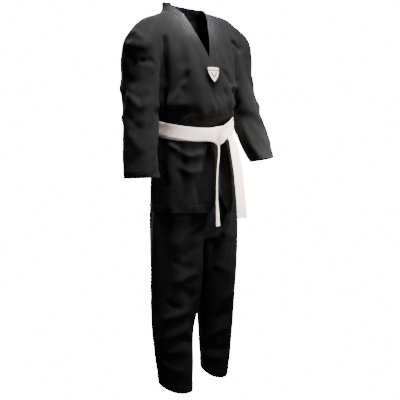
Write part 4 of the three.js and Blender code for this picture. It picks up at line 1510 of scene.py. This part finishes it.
def shield(scale, steps=14):
    """Outline of the badge from its top left corner, clockwise as seen from the front."""

    def curve(a, b, c):
        t = np.linspace(0, 1, steps, endpoint=False)[:, None]
        a, b, c = np.array(a), np.array(b), np.array(c)
        return (1 - t) ** 2 * a + 2 * t * (1 - t) * b + t * t * c

    outline = np.concatenate(
        [
            curve((-22, 22), (0, 25), (22, 22)),
            curve((22, 22), (24, -4), (0, -25)),
            curve((0, -25), (-24, -4), (-22, 22)),
        ]
    )
    return outline * scale


def badge_point(x, out, z):
    """A point of the badge's own flat face in the part's frame."""
    tilt = math.radians(-BADGE_TILT)
    bend = 0.0012 * x * x
    y = -out + bend
    return (
        BADGE_AT[0] + x,
        BADGE_AT[1] + y * math.cos(tilt) - z * math.sin(tilt),
        BADGE_AT[2] + y * math.sin(tilt) + z * math.cos(tilt),
    )


def badge_plate():
    rings = [(0.97, -0.2), (1.0, 0.1), (1.0, 1.0), (0.97, 1.3), (0.6, 1.5), (0.3, 1.6)]
    verts, faces = [], []
    for scale, out in rings:
        verts.extend(badge_point(x, out, z) for x, z in shield(scale))
    count = len(shield(1))
    for r in range(len(rings) - 1):
        for k in range(count):
            m = (k + 1) % count
            faces.append((r * count + k, r * count + m, (r + 1) * count + m, (r + 1) * count + k))
    faces.append(tuple(range(count)))
    faces.append(tuple((len(rings) - 1) * count + k for k in range(count)))
    obj = mesh_object("chest_badge", np.array(verts) * MM, faces)
    with_normals_out(obj)
    return obj


def badge_rope(name, points, thick):
    """A raised embroidered line along points of the badge's face."""
    ring = [(math.cos(a), math.sin(a)) for a in np.arange(8) * math.pi / 4]
    closed = points[0] == points[-1]
    points = [Vector(badge_point(x, 1.4, z)) for x, z in (points[:-1] if closed else points)]
    out = Vector((0, -1, 0))
    verts, faces = [], []
    for i, at in enumerate(points):
        after = points[(i + 1) % len(points)] if closed or i < len(points) - 1 else at
        before = points[i - 1] if closed or i else at
        side = (after - before).cross(out).normalized()
        verts.extend(at + side * c * thick / 2 + out * (s * thick / 3) for c, s in ring)
    spans = len(points) if closed else len(points) - 1
    for i in range(spans):
        j = (i + 1) % len(points)
        faces.extend(
            (i * 8 + k, i * 8 + (k + 1) % 8, j * 8 + (k + 1) % 8, j * 8 + k) for k in range(8)
        )
    if not closed:
        faces.append(tuple(range(8)))
        faces.append(tuple(range(len(verts) - 8, len(verts))))
    obj = mesh_object(name, np.array([tuple(v) for v in verts]) * MM, faces)
    with_normals_out(obj)
    return obj


badge = badge_plate()
outline = [tuple(p) for p in shield(0.965)]
border = badge_rope("badge_border", [*outline, outline[0]], 3.4)
bar = badge_rope("badge_bar", [(x, 12.5) for x in np.linspace(-18.5, 18.5, 12)], 3.4)
chevron = [(-10, 6), (-5, -1.5), (0, -9), (5, -1.5), (10, 6)]
marks = badge_rope("badge_chevron", chevron, 5)
for obj, material in ((badge, BADGE), (border, BORDER), (bar, BORDER), (marks, MARK)):
    round_uv(obj, trunk_axis, BADGE_RADIUS)
    smooth_shading(obj, 40)
    paint(obj, material, "badge_cloth")

# ---- Waistband, hidden under the top ------------------------------------------------------


def gathered_band(name, grow, low_z, high_z, thick, ruffle):
    """A band round the waist whose cloth is gathered into small waves."""
    ring = station_ring((0, *TROUSER_WAIST), 240, grow)
    low, high = [], []
    for i, (x, y, _) in enumerate(ring):
        scale = 1 + ruffle * math.sin(i * 2 * math.pi / 8) / 100
        low.append((x * scale, y * scale, low_z))
        high.append((x * scale, y * scale, high_z))
    return strip(name, low, high, thick, closed=True, dome=0.3)


casing = gathered_band("waistband", -2.6, CASING_LOW, CASING_HIGH, 4.6, 0.7)
elastic = gathered_band("waist_elastic", -6.2, CASING_LOW + 5, CASING_HIGH - 4, 1.2, 0.0)
paint(casing, BAND, "black_band")
paint(elastic, ELASTIC, "elastic")

# ---- Rows of stitches ---------------------------------------------------------------------


def ring_rays(at, across, steps):
    """Rays outwards from a point, in the plane through it that is square to across."""
    across = Vector(across)
    first = across.orthogonal().normalized()
    second = across.cross(first)
    angles = np.arange(steps + 1) * 2 * math.pi / steps
    ways = [first * math.cos(a) + second * math.sin(a) for a in angles]
    return [tuple(at)] * len(ways), ways


def level_rays(z, steps=260):
    """Rays outwards from the middle of the trunk, at one height."""
    angles = np.arange(steps + 1) * 2 * math.pi / steps
    return [(0, TRUNK_Y, z)] * len(angles), [(math.sin(a), -math.cos(a), 0) for a in angles]


def line_rays(line, inset, drop, steps=60):
    """Rays backwards from in front of an edge of the neck, moved outwards by inset."""
    heights, halves = zip(*line)
    rows = []
    for sign in (-1, 1):
        highest = collar_top(sign * COLLAR_HALF, COLLAR_HIGH[1]) - drop
        zs = np.linspace(line[0][0] + 4, highest, steps)
        starts = [(sign * (np.interp(z, heights, halves) + inset), -300, z) for z in zs]
        rows.append((starts, [(0, 1, 0)] * steps))
    return rows


def trunk_only(place):
    return abs(place.x) < 158


stitching = {"lapel_stitches": [], "hem_stitches": [], "back_stitches": [], "neck_stitches": []}
for line, inset, drop in ((NECK_V, 3.5, 2), (NECK_V, 12.0, 2), (LAPEL, -3.0, 32)):
    for starts, ways in line_rays(line, inset, drop):
        row = along_rays(top_tree, starts, ways, BAND_LIFT, lambda p: p.y < 40)
        stitching["lapel_stitches"].append(row)
for lower in (2, HEM_DEPTH - 3):
    starts, ways = level_rays(TOP_HEM_Z + lower)
    row = along_rays(top_tree, starts, ways, BAND_LIFT, trunk_only)
    seam_y = SIDE_SEAM_Y + SIDE_SEAM_SLOPE * (TOP_HEM_Z + lower)

    def in_vent(p):
        return p.y < 0 and VENT_LOW[0][0] + 1 < p.x < VENT_LOW[1][0] - 1

    front_row = [i if i and i[0].y / MM < seam_y and not in_vent(i[0] / MM) else None for i in row]
    back_row = [i if i and i[0].y / MM >= seam_y else None for i in row]
    stitching["hem_stitches"].append(front_row)
    stitching["back_stitches"].append(back_row[len(row) // 2 :] + back_row[: len(row) // 2])
for share in (0.12, 0.85):
    angles = np.linspace(-1.5, 1.5, 90)
    tops = [
        collar_top(COLLAR_HALF * math.sin(a), COLLAR_HIGH[1] + 44 * math.cos(a)) for a in angles
    ]
    starts = [(0, 36, COLLAR_BASE_Z + share * (top - COLLAR_BASE_Z)) for top in tops]
    ways = [(math.sin(a), math.cos(a), 0) for a in angles]
    stitching["neck_stitches"].append(along_rays(top_tree, starts, ways, BAND_LIFT))
sewn = {name: stitch_rows(name, rows, "black_band") for name, rows in stitching.items()}
for kind, limbs, tree in (("cuff", ARMS, top_tree), ("leg", LEGS, trouser_tree)):
    for side, rings in limbs.items():
        rays = [ring_rays(*limb_end(rings, before), 150) for before in HEM_ROWS]
        rows = [along_rays(tree, starts, ways, BAND_LIFT) for starts, ways in rays]
        name = f"{kind}_stitches_{side}"
        sewn[name] = stitch_rows(name, rows, "black_band")
for side in SIDES:
    point, normal = seam_side(side)
    slope = Vector(normal)
    starts, ways = ring_rays(Vector(point) - slope * 2.5, slope, 160)
    row = along_rays(top_tree, starts, ways, SEAM_LIFT, lambda p: abs(p.x) > 141)
    name = f"shoulder_stitches_{side}"
    sewn[name] = stitch_rows(name, [row], "black_cloth")

# ---- What each piece moves with -----------------------------------------------------------
BODY = "garment_body"
STILL_PIECES = ("front", "front_hem_right", "front_hem_left", "lapel_right", "lapel_left", "neck_band")
STILL_ROWS = (
    "lapel_stitches",
    "hem_stitches",
    "neck_stitches",
    "shoulder_stitches_right",
    "shoulder_stitches_left",
)
still = [PIECES[name] for name in STILL_PIECES]
still += [facing, label, first_turn, second_turn, knot_wrap, knot_side, knot_core]
still += [badge, border, bar, marks, casing, elastic, PIECES["gusset"]]
still += [sewn[name] for name in STILL_ROWS]
for obj in still:
    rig.ride(obj, BODY)
bend_start, bend_end = (Vector((0, 100, z)) * MM for z in SKIRT_BEND)
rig.blend(PIECES["back"], BODY, "skirt_flap", start=bend_start, end=bend_end)
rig.ride(PIECES["back_hem"], "skirt_flap")
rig.ride(sewn["back_stitches"], "skirt_flap")
for side in SIDES:
    point, normal = seam_side(side)
    start, end = ((Vector(point) + Vector(normal) * along) * MM for along in SLEEVE_BEND)
    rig.blend(PIECES[f"sleeve_{side}"], BODY, f"{side}_sleeve", start=start, end=end)
    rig.ride(PIECES[f"cuff_{side}"], f"{side}_sleeve")
    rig.ride(sewn[f"cuff_stitches_{side}"], f"{side}_sleeve")
    start, end = (Vector((LEGS[side][1][0], 0, z)) * MM for z in LEG_BEND)
    for part in ("front", "back"):
        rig.blend(PIECES[f"trouser_{part}_{side}"], BODY, f"{side}_leg", start=start, end=end)
    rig.ride(PIECES[f"trouser_hem_{side}"], f"{side}_leg")
    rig.ride(sewn[f"leg_stitches_{side}"], f"{side}_leg")
for side, obj in (("right", tail_right), ("left", tail_left)):
    start, end = (Vector(place) * MM for place in TAIL_BENDS[side])
    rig.blend(obj, BODY, f"{side}_tail", start=start, end=end)

# ---- The CAD nodes that each piece stands for ---------------------------------------------
OTHERS = {
    "facing": facing,
    "label": label,
    "first_turn": first_turn,
    "second_turn": second_turn,
    "knot_wrap": knot_wrap,
    "knot_side": knot_side,
    "knot_core": knot_core,
    "tail_right": tail_right,
    "tail_left": tail_left,
    "badge": badge,
    "casing": casing,
    "elastic": elastic,
}
PARTS = {**PIECES, **OTHERS}
STANDS_FOR = {
    "front": ["front_panel"],
    "back": ["back_panel", "back_skirt"],
    "back_hem": ["back_hem"],
    "front_hem_right": ["front_hem_right"],
    "front_hem_left": ["front_hem_left"],
    "lapel_right": ["lapel_right"],
    "lapel_left": ["lapel_left"],
    "neck_band": ["back_neck_band"],
    "gusset": ["crotch_gusset"],
    "trouser_front_right": ["seat_front", "leg_front_right"],
    "trouser_front_left": ["seat_front", "leg_front_left"],
    "trouser_back_right": ["seat_back", "leg_back_right"],
    "trouser_back_left": ["seat_back", "leg_back_left"],
}
for side in SIDES:
    STANDS_FOR[f"sleeve_{side}"] = [f"sleeve_{side}"]
    STANDS_FOR[f"cuff_{side}"] = [f"sleeve_hem_{side}"]
    STANDS_FOR[f"trouser_hem_{side}"] = [f"leg_hem_{side}"]
STANDS_FOR |= {
    "facing": ["neck_facing"],
    "label": ["size_label"],
    "first_turn": ["belt_first_turn"],
    "second_turn": ["belt_second_turn"],
    "knot_wrap": ["belt_knot"],
    "tail_right": ["belt_tail_right"],
    "tail_left": ["belt_tail_left"],
    "badge": ["chest_badge"],
    "casing": ["waistband_casing"],
    "elastic": ["waist_elastic"],
}
for name, nodes in STANDS_FOR.items():
    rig.replaces(PARTS[name], *nodes)
for side in SIDES:
    eyelet = frame["nodes"][f"eyelet_{side}"]
    eyelet.data.materials.clear()
    eyelet.data.materials.append(METAL)
    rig.slot(eyelet, "eyelet_metal")

# ---- Cloth as it was cut ------------------------------------------------------------------
# Each sheet: its name, width and length in metres, area where the cut isn't a rectangle, how it is
# held, and what it rests on. A name with {side} in it stands for a right and a left piece.
SHEETS = [
    ("front", 0.56, 0.6, 0.22, "hung", ["back"]),
    ("back", 0.56, 0.6, 0.23, "hung", ["front"]),
    ("lapel_{side}", 0.028, 0.27, None, "folded", ["front"]),
    ("neck_band", 0.028, 0.26, None, "folded", ["back"]),
    ("front_hem_right", 0.022, 0.21, None, "folded", ["front"]),
    ("front_hem_left", 0.022, 0.16, None, "folded", ["front"]),
    ("back_hem", 0.022, 0.45, None, "folded", ["back"]),
    ("sleeve_{side}", 0.36, 0.36, 0.105, "hung", ["front", "back"]),
    ("cuff_{side}", 0.022, 0.33, None, "folded", ["sleeve_{side}"]),
    ("trouser_front_{side}", 0.25, 0.76, 0.148, "hung", ["elastic"]),
    ("trouser_back_{side}", 0.25, 0.76, 0.146, "hung", ["elastic"]),
    ("trouser_hem_{side}", 0.022, 0.335, None, "folded", ["trouser_front_{side}"]),
    ("gusset", 0.044, 0.102, 0.0022, "hung", ["trouser_front_right", "trouser_front_left"]),
    ("facing", 0.019, 0.122, None, "laid", ["back"]),
    ("label", 0.022, 0.038, None, "laid", ["facing"]),
    ("first_turn", 0.04, 0.745, None, "stretched", ["front", "back"]),
    ("second_turn", 0.04, 0.765, None, "stretched", ["first_turn"]),
    ("knot_wrap", 0.04, 0.12, None, "folded", ["second_turn"]),
    ("knot_side", 0.04, 0.095, None, "folded", ["second_turn"]),
    ("knot_core", 0.04, 0.07, None, "folded", ["second_turn"]),
    ("tail_right", 0.04, 0.25, None, "hung", ["knot_side"]),
    ("tail_left", 0.04, 0.265, None, "hung", ["knot_wrap"]),
    ("badge", 0.046, 0.05, 0.0016, "laid", ["front"]),
    ("casing", 0.038, 0.8, None, "gathered", ["elastic"]),
    ("elastic", 0.0285, 0.52, None, "stretched", ["casing"]),
]
SEWN_ON = {
    "front": [sewn["shoulder_stitches_right"], sewn["shoulder_stitches_left"]],
    "lapel_right": [sewn["lapel_stitches"]],
    "neck_band": [sewn["neck_stitches"]],
    "front_hem_right": [sewn["hem_stitches"]],
    "back_hem": [sewn["back_stitches"]],
    "badge": [border, bar, marks],
}
for side in SIDES:
    SEWN_ON[f"cuff_{side}"] = [sewn[f"cuff_stitches_{side}"]]
    SEWN_ON[f"trouser_hem_{side}"] = [sewn[f"leg_stitches_{side}"]]
for pattern, width, length, area, held, under in SHEETS:
    for side in SIDES if "{side}" in pattern else ("",):
        name = pattern.format(side=side)
        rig.sheet(
            PARTS[name],
            flat=(width, length),
            held=held,
            rests_on=[PARTS[other.format(side=side)] for other in under],
            area=area,
            with_pieces=SEWN_ON.get(name, []),
        )

# ---- Camera, light and surroundings -------------------------------------------------------
scene = bpy.context.scene


def towards(azimuth, elevation):
    a, e = math.radians(azimuth), math.radians(elevation)
    return Vector((math.sin(a) * math.cos(e), -math.cos(a) * math.cos(e), math.sin(e)))


def aim(obj, target):
    obj.rotation_mode = "QUATERNION"
    obj.rotation_quaternion = (Vector(target) - obj.location).to_track_quat("-Z", "Y")


camera = bpy.data.objects.new("camera", bpy.data.cameras.new("camera"))
scene.collection.objects.link(camera)
camera.data.lens = LENS
camera.location = VIEW_TARGET + towards(VIEW_AZIMUTH, VIEW_ELEVATION) * VIEW_DISTANCE
aim(camera, VIEW_TARGET)
scene.camera = camera


def soft_light(name, azimuth, elevation, distance, size, watts, target, spread=180):
    """A square lamp that stands that way and that far from its target, in degrees and metres."""
    light = bpy.data.objects.new(name, bpy.data.lights.new(name, "AREA"))
    scene.collection.objects.link(light)
    light.data.size = size
    light.data.energy = watts
    light.data.spread = math.radians(spread)
    light.location = Vector(target) + towards(azimuth, elevation) * distance
    aim(light, target)


soft_light("key", 2, 66, 1.05, 0.5, 112, (-0.03, 0.02, -0.1))
soft_light("side", 24, 14, 1.0, 0.3, 5, (0.27, -0.07, -0.42), spread=34)
soft_light("fill", -50, 4, 2.6, 1.0, 3, (0, 0, -0.5))
soft_light("front", -14, 10, 2.2, 0.5, 14, (0.05, 0, -0.45))
soft_light("back", 165, 28, 2.0, 1.4, 140, (0, 0, -0.5))
soft_light("neck", -20, 38, 1.5, 0.1, 1, (0.03, 0.1, -0.1), spread=5)
world = bpy.data.worlds.new("world")
scene.world = world
world.use_nodes = True
world.node_tree.nodes["Background"].inputs["Color"].default_value = (1, 1, 1, 1)
world.node_tree.nodes["Background"].inputs["Strength"].default_value = WORLD_LIGHT


def shown_only_to_camera(obj, glow):
    """A white surface that the camera sees and that gives the object no light or shade."""
    material = bpy.data.materials.new(obj.name)
    material.use_nodes = True
    tree = material.node_tree
    tree.nodes.clear()
    light = tree.nodes.new("ShaderNodeEmission")
    light.inputs["Strength"].default_value = glow
    end = tree.nodes.new("ShaderNodeOutputMaterial")
    tree.links.new(light.outputs[0], end.inputs[0])
    obj.data.materials.append(material)
    obj.visible_diffuse = False
    obj.visible_glossy = False
    obj.visible_transmission = False
    obj.visible_shadow = False
    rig.stage(obj)


bpy.ops.mesh.primitive_uv_sphere_add(segments=48, ring_count=24, radius=DOME_RADIUS)
dome = bpy.context.active_object
dome.name = "backdrop"
shown_only_to_camera(dome, BACKDROP_GLOW)
corners = [(x * FLOOR_HALF, y * FLOOR_HALF, FLOOR_Z) for x, y in ((-1, -1), (1, -1), (1, 1), (-1, 1))]
floor = mesh_object("floor", corners, [(0, 1, 2, 3)])
shown_only_to_camera(floor, BACKDROP_GLOW)

low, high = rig.bounds()
with open("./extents.json", "w") as out:
    json.dump({"cad": [list(c) for c in CAD_BOX], "visual": [list(low), list(high)]}, out)
